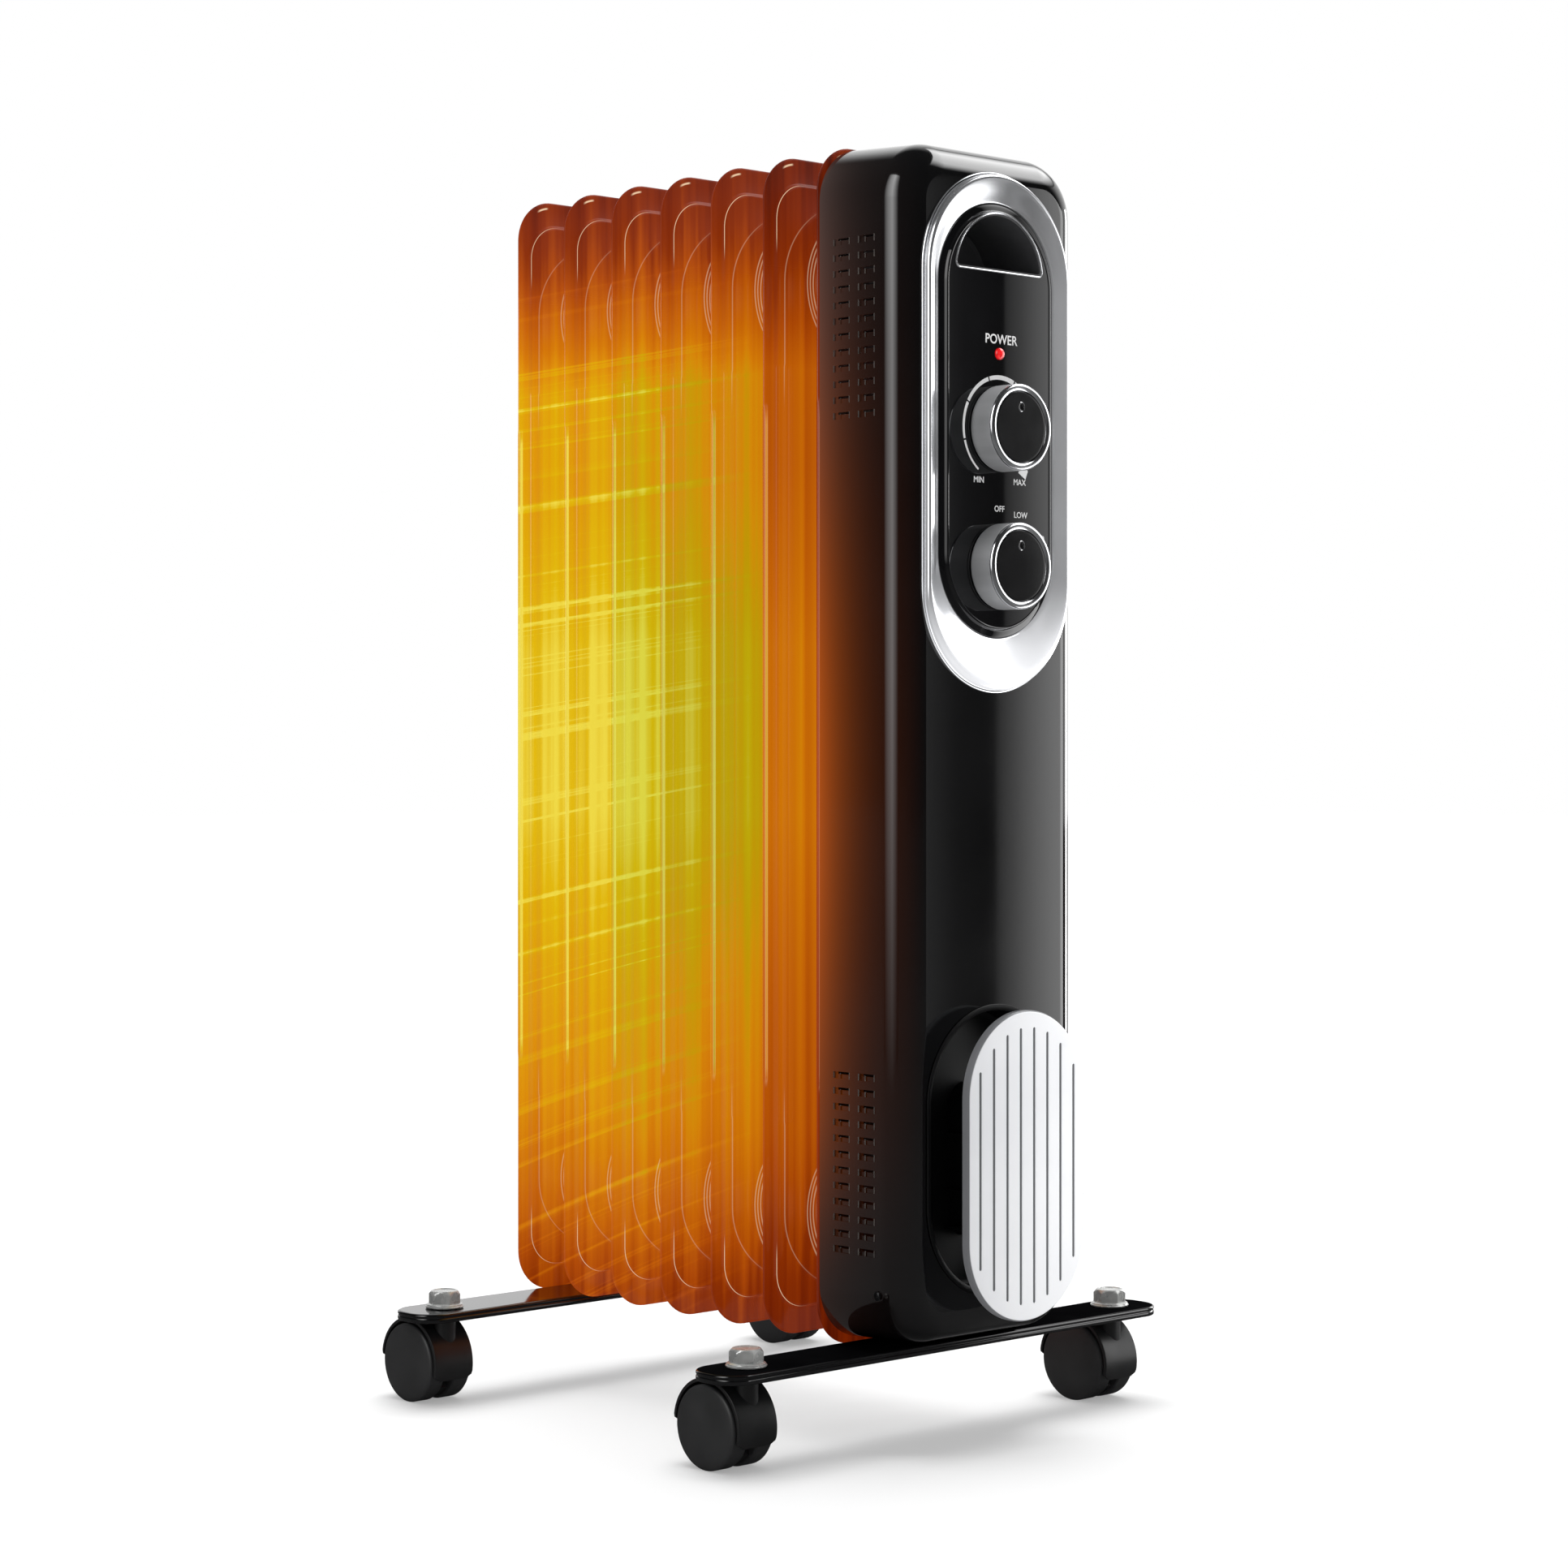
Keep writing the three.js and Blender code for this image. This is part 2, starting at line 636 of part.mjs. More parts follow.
function winderPlate() {
  const back = PLATE_FRONT_Y + PLATE_THICKNESS;
  const plate = loft([
    atY(oval(grownOval(PLATE, -0.8), 12), PLATE_FRONT_Y),
    atY(oval(PLATE, 12), PLATE_FRONT_Y + 0.8),
    atY(oval(PLATE, 12), back),
  ]);
  const middleZ = (PLATE.low + PLATE.high) / 2;
  const straightHalf = (PLATE.high - PLATE.low) / 2 - PLATE.halfWidth;
  const grooves = [];
  for (let i = 0; i < PLATE_GROOVES; i += 1) {
    const x = (i - (PLATE_GROOVES - 1) / 2) * PLATE_GROOVE_PITCH;
    const arc = Math.sqrt(PLATE.halfWidth ** 2 - x ** 2);
    const half = straightHalf + arc - 7.8 - 0.003 * x ** 2;
    const groove = { halfWidth: 0.9, low: middleZ - half, high: middleZ + half };
    const moved = oval(groove, 2).map(([across, up]) => [across + x, up]);
    grooves.push(prismY(moved, PLATE_FRONT_Y - 1, PLATE_FRONT_Y + 0.9));
  }
  return plate.subtract(union(...grooves));
}

// The bush where the mains cord would leave the recess.
function cordGland() {
  const outside = turnedY(25, 92, [
    [-128, 5.2],
    [RECESS_FLOOR_Y - 3, 6.5],
    [RECESS_FLOOR_Y - GAP, 6.5],
  ], 10);
  const stem = turnedY(25, 92, [[RECESS_FLOOR_Y - 1, 4], [-114, 4]], 10);
  const bore = turnedY(25, 92, [[-130, 3], [-112, 3]], 8);
  return outside.add(stem).subtract(bore);
}

// ---- Foot bars and their clamps ----

function footBar(y) {
  const outline = roundedRectangle(BAR_HALF_LENGTH, y - BAR_HALF_WIDTH, y + BAR_HALF_WIDTH, BAR_END_RADIUS, 4);
  const inset = BAR_SHEET;
  const hollow = roundedRectangle(
    BAR_HALF_LENGTH - inset,
    y - BAR_HALF_WIDTH + inset,
    y + BAR_HALF_WIDTH - inset,
    BAR_END_RADIUS - inset,
    4,
  );
  const bar = prismZ(outline, BAR_TOP - BAR_HEIGHT, BAR_TOP);
  const channel = prismZ(hollow, BAR_TOP - BAR_HEIGHT - 1, BAR_TOP - BAR_SHEET);
  const holes = [
    ...[-CASTER_X, CASTER_X].map((x) => prismZ(ringPoints([x, y], BOLT_RADIUS + 0.4, 8), 40, 50)),
    ...[-CLAMP_ARCH, CLAMP_ARCH].map((x) => prismZ(ringPoints([x, y], CLAMP_ROD + 0.5, 8), 40, 50)),
  ];
  return bar.subtract(channel).subtract(union(...holes));
}

// A U-bolt over the lower header, with its threaded legs through the bar.
function headerClamp(y) {
  const path = [new THREE.Vector3(-CLAMP_ARCH, y, CLAMP_LEG_END_Z)];
  for (let i = 0; i <= 8; i += 1) {
    const angle = Math.PI - (Math.PI * i) / 8;
    const reach = CLAMP_ARCH + 0.4;
    const x = i === 0 || i === 8 ? CLAMP_ARCH * Math.cos(angle) : reach * Math.cos(angle);
    path.push(new THREE.Vector3(x, y, HEADER_LOW_Z + reach * Math.sin(angle)));
  }
  path.push(new THREE.Vector3(CLAMP_ARCH, y, CLAMP_LEG_END_Z));
  return rod(path, new THREE.Vector3(0, 1, 0), CLAMP_ROD, 6);
}

// A hex nut on a clamp's leg, up inside the bar's channel.
function clampNut(x, y) {
  const top = BAR_TOP - BAR_SHEET - GAP;
  const body = prismZ(ringPoints([x, y], 4.8, 6), top - CLAMP_NUT_HEIGHT, top);
  const bore = prismZ(ringPoints([x, y], CLAMP_ROD + GAP, 8), top - 12, top + 2);
  return body.subtract(bore);
}

// ---- Casters ----

// The hex bolt that holds a caster under its bar and that the hood turns on.
function casterBolt(x, y) {
  const seat = BAR_TOP + GAP;
  const flange = loft([
    atZ(ringPoints([x, y], 9.7, 16), seat),
    atZ(ringPoints([x, y], 9.7, 16), seat + 1.2),
    atZ(ringPoints([x, y], 8.2, 16), seat + 2.2),
  ]);
  const head = loft([
    atZ(ringPoints([x, y], 8.1, 6), seat + 1),
    atZ(ringPoints([x, y], 8.1, 6), seat + 7.6),
    atZ(ringPoints([x, y], 6.9, 6), seat + 8.6),
  ]);
  const shank = prismZ(ringPoints([x, y], BOLT_RADIUS, 8), 40.4, seat + 1);
  return union(flange, head, shank);
}

// Points of a ring sector around the axle, in Y and Z.
function hoodArc(y, inner, outer) {
  const steps = 10;
  const points = [];
  for (let i = 0; i <= steps; i += 1) {
    const part = THREE.MathUtils.lerp(-HOOD_FRONT_ANGLE, HOOD_REAR_ANGLE, i / steps);
    const angle = THREE.MathUtils.degToRad(part);
    points.push([y + Math.sin(angle), Math.cos(angle)]);
  }
  const scaled = (radius) => points.map(([side, up]) => [y + (side - y) * radius, WHEEL_RADIUS + up * radius]);
  return { outside: scaled(outer), inside: scaled(inner) };
}

// A curved wall bent around the axle between two radii.
function hoodWall(x, y, inner, outer, halfWidth) {
  const { outside, inside } = hoodArc(y, inner, outer);
  const rings = outside.map(([outY, outZ], i) => {
    const [inY, inZ] = inside[i];
    return [
      new THREE.Vector3(x - halfWidth, inY, inZ),
      new THREE.Vector3(x - halfWidth, outY, outZ),
      new THREE.Vector3(x + halfWidth, outY, outZ),
      new THREE.Vector3(x + halfWidth, inY, inZ),
    ];
  });
  return loft(rings);
}

// The hood over a caster's two wheels, with the web and hub that carry the axle.
function casterHood(x, stemY) {
  const y = stemY + AXLE_OFFSET_Y;
  const middle = [y, WHEEL_RADIUS];
  const shell = hoodWall(x, y, HOOD_INNER, HOOD_OUTER, HOOD_HALF_WIDTH);
  const web = hoodWall(x, y, 4, HOOD_INNER + 0.5, HOOD_WEB_HALF);
  const hub = prismX(ringPoints(middle, 6, 12), x - HOOD_WEB_HALF, x + HOOD_WEB_HALF);
  const bossTop = BAR_TOP - BAR_SHEET - 0.4;
  const boss = prismZ(ringPoints([x, stemY], BOSS_RADIUS, 10), 28, bossTop)
    .subtract(prismX(ringPoints(middle, HOOD_INNER + 0.3, 24), x - 20, x + 20));
  const bore = prismX(ringPoints(middle, AXLE_RADIUS + GAP, 8), x - 20, x + 20);
  const socket = prismZ(ringPoints([x, stemY], BOLT_RADIUS + 0.4, 8), 40, bossTop + 2);
  return union(shell, web, hub, boss).subtract(bore).subtract(socket);
}

function casterAxle(x, stemY) {
  const outline = ringPoints([stemY + AXLE_OFFSET_Y, WHEEL_RADIUS], AXLE_RADIUS, 8);
  return prismX(outline, x - 10.5, x + 10.5);
}

// One wheel: a flat tread, a crowned outer face and a blind bore for the axle.
function casterWheel(x, stemY, side) {
  const y = stemY + AXLE_OFFSET_Y;
  const toCorner = 1 / Math.cos(Math.PI / WHEEL_SIDES);
  const ring = (radius, offset) => (
    atX(ringPoints([y, WHEEL_RADIUS], radius * toCorner, WHEEL_SIDES, 0.5), x + side * offset)
  );
  const tyre = loft([
    ring(WHEEL_RADIUS, WHEEL_INNER_X),
    ring(WHEEL_RADIUS, WHEEL_TREAD_X - 0.4),
    ring(WHEEL_RADIUS - 1.6, WHEEL_TREAD_X + 0.5),
    ring(WHEEL_RADIUS * 0.45, WHEEL_CROWN_X),
  ]);
  const bore = prismX(
    ringPoints([y, WHEEL_RADIUS], AXLE_RADIUS + GAP, 8),
    x + side * (WHEEL_INNER_X - 2),
    x + side * 11,
  );
  return tyre.subtract(bore);
}

// ---- Assembly ----

function meshFrom(name, solid, look) {
  const { numProp, vertProperties, triVerts } = solid.getMesh();
  const geometry = new THREE.BufferGeometry();
  const positions = [];
  for (let i = 0; i < vertProperties.length; i += numProp) {
    positions.push(vertProperties[i], vertProperties[i + 1], vertProperties[i + 2]);
  }
  geometry.setAttribute('position', new THREE.Float32BufferAttribute(positions, 3));
  geometry.setIndex(Array.from(triVerts));
  geometry.computeVertexNormals();
  const mesh = new THREE.Mesh(geometry, look());
  mesh.name = name;
  return mesh;
}

const heater = new THREE.Group();
heater.name = 'oil_filled_radiator_heater';

function place(name, solid, look) {
  heater.add(meshFrom(name, solid, look));
}

for (let index = 1; index <= FIN_COUNT; index += 1) {
  place(`fin_${index}`, fin(index), finEnamel);
}
place('heating_element', heatingElement(), innerSteel);
place('heat_shield', heatShield(), innerSteel);
place('front_cover', frontCover(), coverPaint);
place('side_screw_left', sideScrew(-1), zincSteel);
place('side_screw_right', sideScrew(1), zincSteel);

place('trim_ring', trimRing(), chromeTrim);
place('control_panel', controlPanel(), panelGloss);
place('handle_cup', handleCup(), recessPlastic);
place('lamp_lens', lampLens(), lampRed);
for (const [name, z] of [['thermostat', THERMOSTAT_Z], ['mode', MODE_Z]]) {
  place(`${name}_knob`, knob(z), knobMetal);
  place(`${name}_knob_face`, knobFace(z), panelGloss);
  place(`${name}_shaft`, knobShaft(z), innerSteel);
}
place('thermostat_body', controlBlock(THERMOSTAT_Z, 15, 13, -122), innerPlastic);
place('mode_switch_body', controlBlock(MODE_Z, 13, 15, -116), innerPlastic);
place('terminal_block', terminalBlock(), innerPlastic);
place('tip_over_switch', tipOverSwitch(), innerPlastic);
place('thermal_cutoff', thermalCutoff(), innerSteel);

place('cord_recess', cordRecess(), recessPlastic);
place('winder_post', winderPost(), recessPlastic);
place('winder_plate', winderPlate(), plateAluminium);
place('cord_gland', cordGland(), recessPlastic);

for (const [end, y] of Object.entries(BARS_Y)) {
  place(`foot_bar_${end}`, footBar(y), barPaint);
  place(`header_clamp_${end}`, headerClamp(y), zincSteel);
  for (const [hand, side] of [['left', -1], ['right', 1]]) {
    const x = side * CASTER_X;
    const corner = `${end}_${hand}`;
    place(`clamp_nut_${corner}`, clampNut(side * CLAMP_ARCH, y), zincSteel);
    place(`caster_bolt_${corner}`, casterBolt(x, y), zincSteel);
    place(`caster_hood_${corner}`, casterHood(x, y), casterPlastic);
    place(`caster_axle_${corner}`, casterAxle(x, y), innerSteel);
    place(`wheel_${corner}_a`, casterWheel(x, y, -1), casterPlastic);
    place(`wheel_${corner}_b`, casterWheel(x, y, 1), casterPlastic);
  }
}

export default heater;
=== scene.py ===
import math

import bmesh
import bpy
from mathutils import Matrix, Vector


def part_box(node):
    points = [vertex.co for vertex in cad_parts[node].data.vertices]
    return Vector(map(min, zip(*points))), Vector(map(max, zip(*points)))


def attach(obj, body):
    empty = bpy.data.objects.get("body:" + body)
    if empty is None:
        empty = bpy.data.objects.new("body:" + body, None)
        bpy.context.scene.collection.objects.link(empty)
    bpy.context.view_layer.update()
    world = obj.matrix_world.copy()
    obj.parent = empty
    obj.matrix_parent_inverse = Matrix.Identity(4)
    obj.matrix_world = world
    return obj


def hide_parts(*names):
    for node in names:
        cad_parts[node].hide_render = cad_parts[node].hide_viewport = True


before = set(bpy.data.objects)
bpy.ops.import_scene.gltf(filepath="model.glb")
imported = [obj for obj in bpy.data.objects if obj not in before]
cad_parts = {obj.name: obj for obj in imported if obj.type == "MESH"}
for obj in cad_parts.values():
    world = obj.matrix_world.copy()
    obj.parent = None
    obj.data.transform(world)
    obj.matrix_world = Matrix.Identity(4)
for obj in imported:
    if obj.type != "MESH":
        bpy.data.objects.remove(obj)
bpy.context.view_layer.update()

MM = 0.001
FIN_COUNT = 7
FIN_PITCH = 38.0
FRONT_FIN_Y = -83.75        # the front fin's middle plane, mm
HEADERS_Z = (106.0, 561.5)  # the middles of the two headers, mm
ENDS = ("front", "rear")
HANDS = ("left", "right")
SIDES = (-1, 1)


# ---- Shader graphs ----

def srgb(text):
    """A linear colour from a six-digit sRGB hex."""
    values = [int(text[i:i + 2], 16) / 255 for i in (0, 2, 4)]
    linear = [v / 12.92 if v <= 0.04045 else ((v + 0.055) / 1.055) ** 2.4 for v in values]
    return (*linear, 1.0)


def colour_of(value):
    """A ramp's colour: a hex text, a grey number or the colour itself."""
    if isinstance(value, str):
        return srgb(value)
    return value if isinstance(value, tuple) else (value, value, value, 1)


class Graph:
    """Short ways to add nodes to a material or world."""

    def __init__(self, owner, coordinates="Object", bare=True):
        owner.use_nodes = True
        self.tree = owner.node_tree
        if bare:
            self.tree.nodes.clear()
        self.coord = self.node("ShaderNodeTexCoord").outputs[coordinates]

    def node(self, kind, **settings):
        node = self.tree.nodes.new(kind)
        for key, value in settings.items():
            setattr(node, key, value)
        return node

    def put(self, target, value):
        if isinstance(value, bpy.types.NodeSocket):
            self.tree.links.new(value, target)
        else:
            target.default_value = value

    def fill(self, node, values, sockets=None):
        for key, value in zip(sockets or range(len(values)), values):
            self.put(node.inputs[key], value)
        return node.outputs

    def math(self, operation, *values):
        return self.fill(self.node("ShaderNodeMath", operation=operation), values)[0]

    def plus(self, first, *rest):
        for value in rest:
            first = self.math("ADD", first, value)
        return first

    def times(self, first, *rest):
        for value in rest:
            first = self.math("MULTIPLY", first, value)
        return first

    def minus(self, a, b):
        return self.math("SUBTRACT", a, b)

    def size(self, value):
        return self.math("ABSOLUTE", value)

    def length(self, a, b):
        return self.math("SQRT", self.plus(self.times(a, a), self.times(b, b)))

    def noise(self, scale, detail=3.0, stretch=(1, 1, 1)):
        spread = self.fill(self.node("ShaderNodeVectorMath", operation="MULTIPLY"), (self.coord, stretch))[0]
        node = self.node("ShaderNodeTexNoise")
        return self.fill(node, (spread, scale, detail), ("Vector", "Scale", "Detail"))["Fac"]

    def line_noise(self, value, scale, detail, roughness):
        node = self.node("ShaderNodeTexNoise", noise_dimensions="1D")
        sockets = ("W", "Scale", "Detail", "Roughness")
        return self.fill(node, (value, scale, detail, roughness), sockets)["Fac"]

    def remap(self, value, old, new=(0, 1), kind="LINEAR"):
        node = self.node("ShaderNodeMapRange", interpolation_type=kind)
        sockets = ("Value", "From Min", "From Max", "To Min", "To Max")
        return self.fill(node, (value, *old, *new), sockets)["Result"]

    def ease(self, value, old, new=(0, 1)):
        return self.remap(value, old, new, "SMOOTHSTEP")

    def window(self, value, rise, fall):
        """1 between the rise and the fall, 0 outside them."""
        return self.times(self.ease(value, rise), self.ease(value, fall, (1, 0)))

    def ends(self, value, fall, rise):
        """1 below the fall and above the rise, 0 between them."""
        return self.math("MAXIMUM", self.ease(value, fall, (1, 0)), self.ease(value, rise))

    def ramp(self, value, stops):
        node = self.node("ShaderNodeValToRGB")
        self.put(node.inputs[0], value)
        elements = node.color_ramp.elements
        while len(elements) < len(stops):
            elements.new(0.5)
        for element, (place, colour) in zip(elements, stops):
            element.position = place
            element.color = colour_of(colour)
        return node.outputs["Color"]

    def mix(self, part, a, b, blend="MIX"):
        node = self.node("ShaderNodeMix", data_type="RGBA", blend_type=blend)
        return self.fill(node, (part, a, b), (0, "A", "B"))["Result"]

    def axes(self):
        return self.fill(self.node("ShaderNodeSeparateXYZ"), (self.coord,))

    def glow(self, kind, strength):
        """White light from a Background or an Emission node."""
        return self.fill(self.node(kind), ((1, 1, 1, 1), strength), ("Color", "Strength"))[0]

    def matt(self, value):
        return self.fill(self.node("ShaderNodeBsdfDiffuse"), (colour_of(value),))[0]

    def choose(self, part, a, b):
        return self.fill(self.node("ShaderNodeMixShader"), (part, a, b))[0]

    def rays(self, kind):
        return self.node("ShaderNodeLightPath").outputs[kind]

    def finish_with(self, kind, surface):
        self.put(self.node(kind).inputs["Surface"], surface)


class Paint(Graph):
    """One Principled material."""

    def __init__(self, name):
        self.material = bpy.data.materials.new(name)
        super().__init__(self.material, bare=False)
        self.body = self.tree.nodes["Principled BSDF"]

    def set(self, **values):
        """Sets the material's sockets; base_color stands for Base Color, and so on."""
        for key, value in values.items():
            socket = "Specular IOR Level" if key == "specular" else key.replace("_", " ").title()
            self.put(self.body.inputs[socket], value)

    def mottle(self, scale, detail, dark, light, rough, stretch=(1, 1, 1)):
        """Mottled colour and uneven roughness; returns the noise behind them."""
        cloud = self.noise(scale, detail, stretch)
        self.set(base_color=self.ramp(cloud, [(0.3, dark), (0.7, light)]),
                 roughness=self.remap(cloud, (0.3, 0.7), rough))
        return cloud

    def bump(self, height, strength, distance):
        node = self.node("ShaderNodeBump")
        outputs = self.fill(node, (strength, distance, height), ("Strength", "Distance", "Height"))
        self.set(normal=outputs[0])


# ---- Camera, light and stage ----

def place(item, at=(0, 0, 0), facing=None):
    item.location = at
    if facing:
        item.rotation_euler = Vector(facing).to_track_quat("-Z", "Y").to_euler()
    bpy.context.collection.objects.link(item)
    return item


def sheet(name, half_width, half_height):
    mesh = bpy.data.meshes.new(name)
    corners = [(a * half_width, b * half_height, 0) for a, b in ((-1, -1), (1, -1), (1, 1), (-1, 1))]
    mesh.from_pydata(corners, [], [(0, 1, 2, 3)])
    mesh.materials.append(bpy.data.materials.new(name))
    return bpy.data.objects.new(name, mesh), Graph(mesh.materials[0])


def add_camera():
    data = bpy.data.cameras.new("photo_camera")
    data.sensor_width = 36.0
    data.lens = 78.73
    data.shift_y = -0.0263
    camera = place(bpy.data.objects.new("photo_camera", data), (-1.1922, -1.27035, 0.3363))
    camera.rotation_euler = (math.radians(90), 0, math.radians(-43.04))
    bpy.context.scene.camera = camera


def area_light(name, at, facing, size, power):
    """A soft light that reflections don't see."""
    data = bpy.data.lights.new(name, "AREA")
    data.shape = "RECTANGLE"
    data.size, data.size_y = size
    data.energy = power
    light = place(bpy.data.objects.new(name, data), at, facing)
    light.visible_camera = False
    light.visible_glossy = False


def glow_card(name, at, facing, size, across, upward):
    """A card that only reflections see; across and upward are its brightness along each side."""
    half_width, half_height = size[0] / 2, size[1] / 2
    card, graph = sheet(name, half_width, half_height)
    place(card, at, facing)
    card.visible_camera = False
    card.visible_diffuse = False
    card.visible_shadow = False
    x, y, z = graph.axes()
    along = graph.ramp(graph.remap(x, (-half_width, half_width)), across)
    up = graph.ramp(graph.remap(y, (-half_height, half_height)), upward)
    graph.finish_with("ShaderNodeOutputMaterial", graph.glow("ShaderNodeEmission", graph.times(along, up)))


def add_world():
    """White behind the heater, dim in front of it, and white wherever the camera looks."""
    world = bpy.data.worlds.new("studio")
    bpy.context.scene.world = world
    graph = Graph(world, "Generated")
    behind = graph.node("ShaderNodeVectorMath", operation="DOT_PRODUCT")
    toward = graph.fill(behind, (graph.coord, (0.86, 0.50, 0.10)))["Value"]
    reflected = graph.glow("ShaderNodeBackground", graph.ease(toward, (0.42, 0.80), (0.035, 1.1)))
    lit = graph.choose(graph.rays("Is Diffuse Ray"), reflected, graph.glow("ShaderNodeBackground", 0.55))
    seen = graph.choose(graph.rays("Is Camera Ray"), lit, graph.glow("ShaderNodeBackground", 1.0))
    graph.finish_with("ShaderNodeOutputWorld", seen)


def add_floor():
    """A white sheet that glows evenly away from the heater, and shows dim in reflections."""
    floor, graph = sheet("floor", 12.0, 12.0)
    place(floor)
    outward = graph.fill(graph.node("ShaderNodeVectorMath", operation="LENGTH"), (graph.coord,))["Value"]
    glowing = graph.choose(graph.ease(outward, (0.36, 0.85), (0.30, 1)), graph.matt(0.86),
                           graph.glow("ShaderNodeEmission", 1.02))
    surface = graph.choose(graph.rays("Is Glossy Ray"), glowing, graph.matt(0.10))
    graph.finish_with("ShaderNodeOutputMaterial", surface)


# ---- Materials ----

def finish(name, dark, light, rough, metal=0.0, coat=0.0, coat_rough=0.05, level=0.5,
           grain=(900, 0.05, 0.0001), scale=35, stretch=(1, 1, 1)):
    """A finish with mottled colour, uneven roughness and a fine grain."""
    paint = Paint(name)
    paint.mottle(scale, 4, dark, light, rough, stretch)
    paint.set(metallic=metal, coat_weight=coat, coat_roughness=coat_rough, specular=level)
    grain_scale, strength, distance = grain
    paint.bump(paint.noise(grain_scale, 2, stretch), strength, distance)
    return paint.material


def fin_heat(paint, across, z, depth, off, hem):
    """How hot each place looks: most in the middle, less at both ends and near the cover, and dimmer where
    painted shade falls between the fins round the headers' necks.
    """
    heat = paint.ramp(paint.remap(z, (0.047, 0.6225)), [
        (0.0, 0.30), (0.03, 0.38), (0.07, 0.50), (0.12, 0.58), (0.18, 0.66), (0.29, 0.76), (0.44, 0.93),
        (0.585, 0.92), (0.66, 0.82), (0.737, 0.74), (0.82, 0.74), (0.864, 0.53), (0.90, 0.40), (0.93, 0.28),
        (0.96, 0.20), (1.0, 0.13),
    ])
    by_depth = paint.ramp(depth, [(0.0, 0.36), (0.2, 0.64), (0.37, 0.88), (0.55, 0.95), (0.75, 1.0)])
    foot = paint.times(paint.ease(z, (0.047, 0.150), (1, 0)), paint.remap(depth, (0, 0.8), (0.5, 0.12)))
    # painted shade: the glow dims on the bosses and necks between the fins
    painted_gap_shade = paint.ease(off, (0.0056, 0.015), (1.0, 0.55))
    heat = paint.times(heat, by_depth, paint.minus(1, foot), painted_gap_shade)
    band = paint.window(across, (0.0385, 0.041), (0.0485, 0.050))
    columns = paint.noise(160, 3, (1, 0.6, 0.006))
    # painted highlight: the hem's line glows brighter
    return paint.plus(heat, paint.times(hem, 0.22), paint.times(band, 0.06),
                      paint.remap(columns, (0.3, 0.7), (-0.07, 0.07)))


def fin_streaks(paint, x, y, z):
    """Slanting streaks of brighter heat over the rear fins, on the -X side.

    They are fixed to the fins, and line up from one fin to the next when seen from the front
    left, 1.74 m away.
    """
    away = paint.plus(paint.times(x, 0.6825), paint.times(y, 0.7309), 1.7422)
    away = paint.math("DIVIDE", away, 1.74)
    slide = paint.plus(paint.times(x, 0.7309), paint.times(y, -0.6825), 0.0043)
    slide = paint.plus(paint.math("DIVIDE", slide, away), 0.135)
    height = paint.math("DIVIDE", paint.minus(z, 0.3363), away)
    above = paint.minus(height, 0.12)
    slope = paint.plus(paint.times(above, above, 2.6), 0.15)
    level = paint.minus(height, paint.times(slope, slide))
    groups = paint.remap(paint.line_noise(level, 26, 2, 0.5), (0.36, 0.62), (0.12, 1.0))
    lines = paint.remap(paint.line_noise(level, 115, 5, 0.65), (0.55, 0.76))
    fades = ((slide, (0.05, 0.13)), (x, (-0.02, 0.0)), (z, (0.555, 0.585)))
    return paint.times(lines, groups, *(paint.ease(value, fall, (1, 0)) for value, fall in fades))


def fin_painted_highlights(paint, x, across, z, depth, off):
    """Painted highlights: thin bright lines on the shoulders of the pressings, at the corners and round the
    headers.
    """
    def shoulder(low, high, soft):
        return paint.times(paint.remap(off, (low - soft, low)), paint.remap(off, (high, high + soft), (1, 0)))

    # painted highlights along the shoulders of the inset bead, at the corners, and of the outer pressing
    bends = paint.times(paint.ends(z, (0.082, 0.094), (0.574, 0.586)), paint.ease(across, (0.032, 0.050)))
    first = paint.times(shoulder(0.0019, 0.0020, 0.00012), bends, 1.1)
    second = paint.times(shoulder(0.0032, 0.0034, 0.00015), paint.ease(across, (0.020, 0.050)),
                         paint.ends(z, (0.150, 0.172), (0.497, 0.520)), 0.26)
    down = paint.math("MINIMUM", *(paint.size(paint.minus(z, header * MM)) for header in reversed(HEADERS_Z)))
    radius = paint.length(x, down)
    # painted highlights round the headers: three thin circles and a bright patch on the slope of each boss
    side = paint.ease(across, (0.022, 0.031), (0, 0.42))
    rings = [paint.remap(paint.size(paint.minus(radius, ring)), (0.0002, 0.0005), (1, 0))
             for ring in (0.0338, 0.0357, 0.0376)]
    boss_highlight = paint.times(paint.ease(radius, (0.0290, 0.0330), (1.2, 0)),
                        paint.ease(down, (0.002, 0.015), (1, 0)))
    lines = paint.plus(first, second, paint.times(paint.plus(*rings, boss_highlight), side))

    # a painted glint: a short bright stroke inside each top corner's hem
    upward = paint.minus(z, 0.6005)
    bend = paint.length(paint.minus(across, 0.0405), upward)
    corner_glint = paint.times(paint.remap(paint.size(paint.minus(bend, 0.0190)), (0.0003, 0.0006), (1, 0)),
                       paint.window(across, (0.0425, 0.0445), (0.0480, 0.0505)),
                       paint.remap(upward, (0.001, 0.002)), 0.9)
    return paint.plus(paint.times(lines, paint.remap(depth, (0.3, 1.0), (1.0, 0.75))), corner_glint)


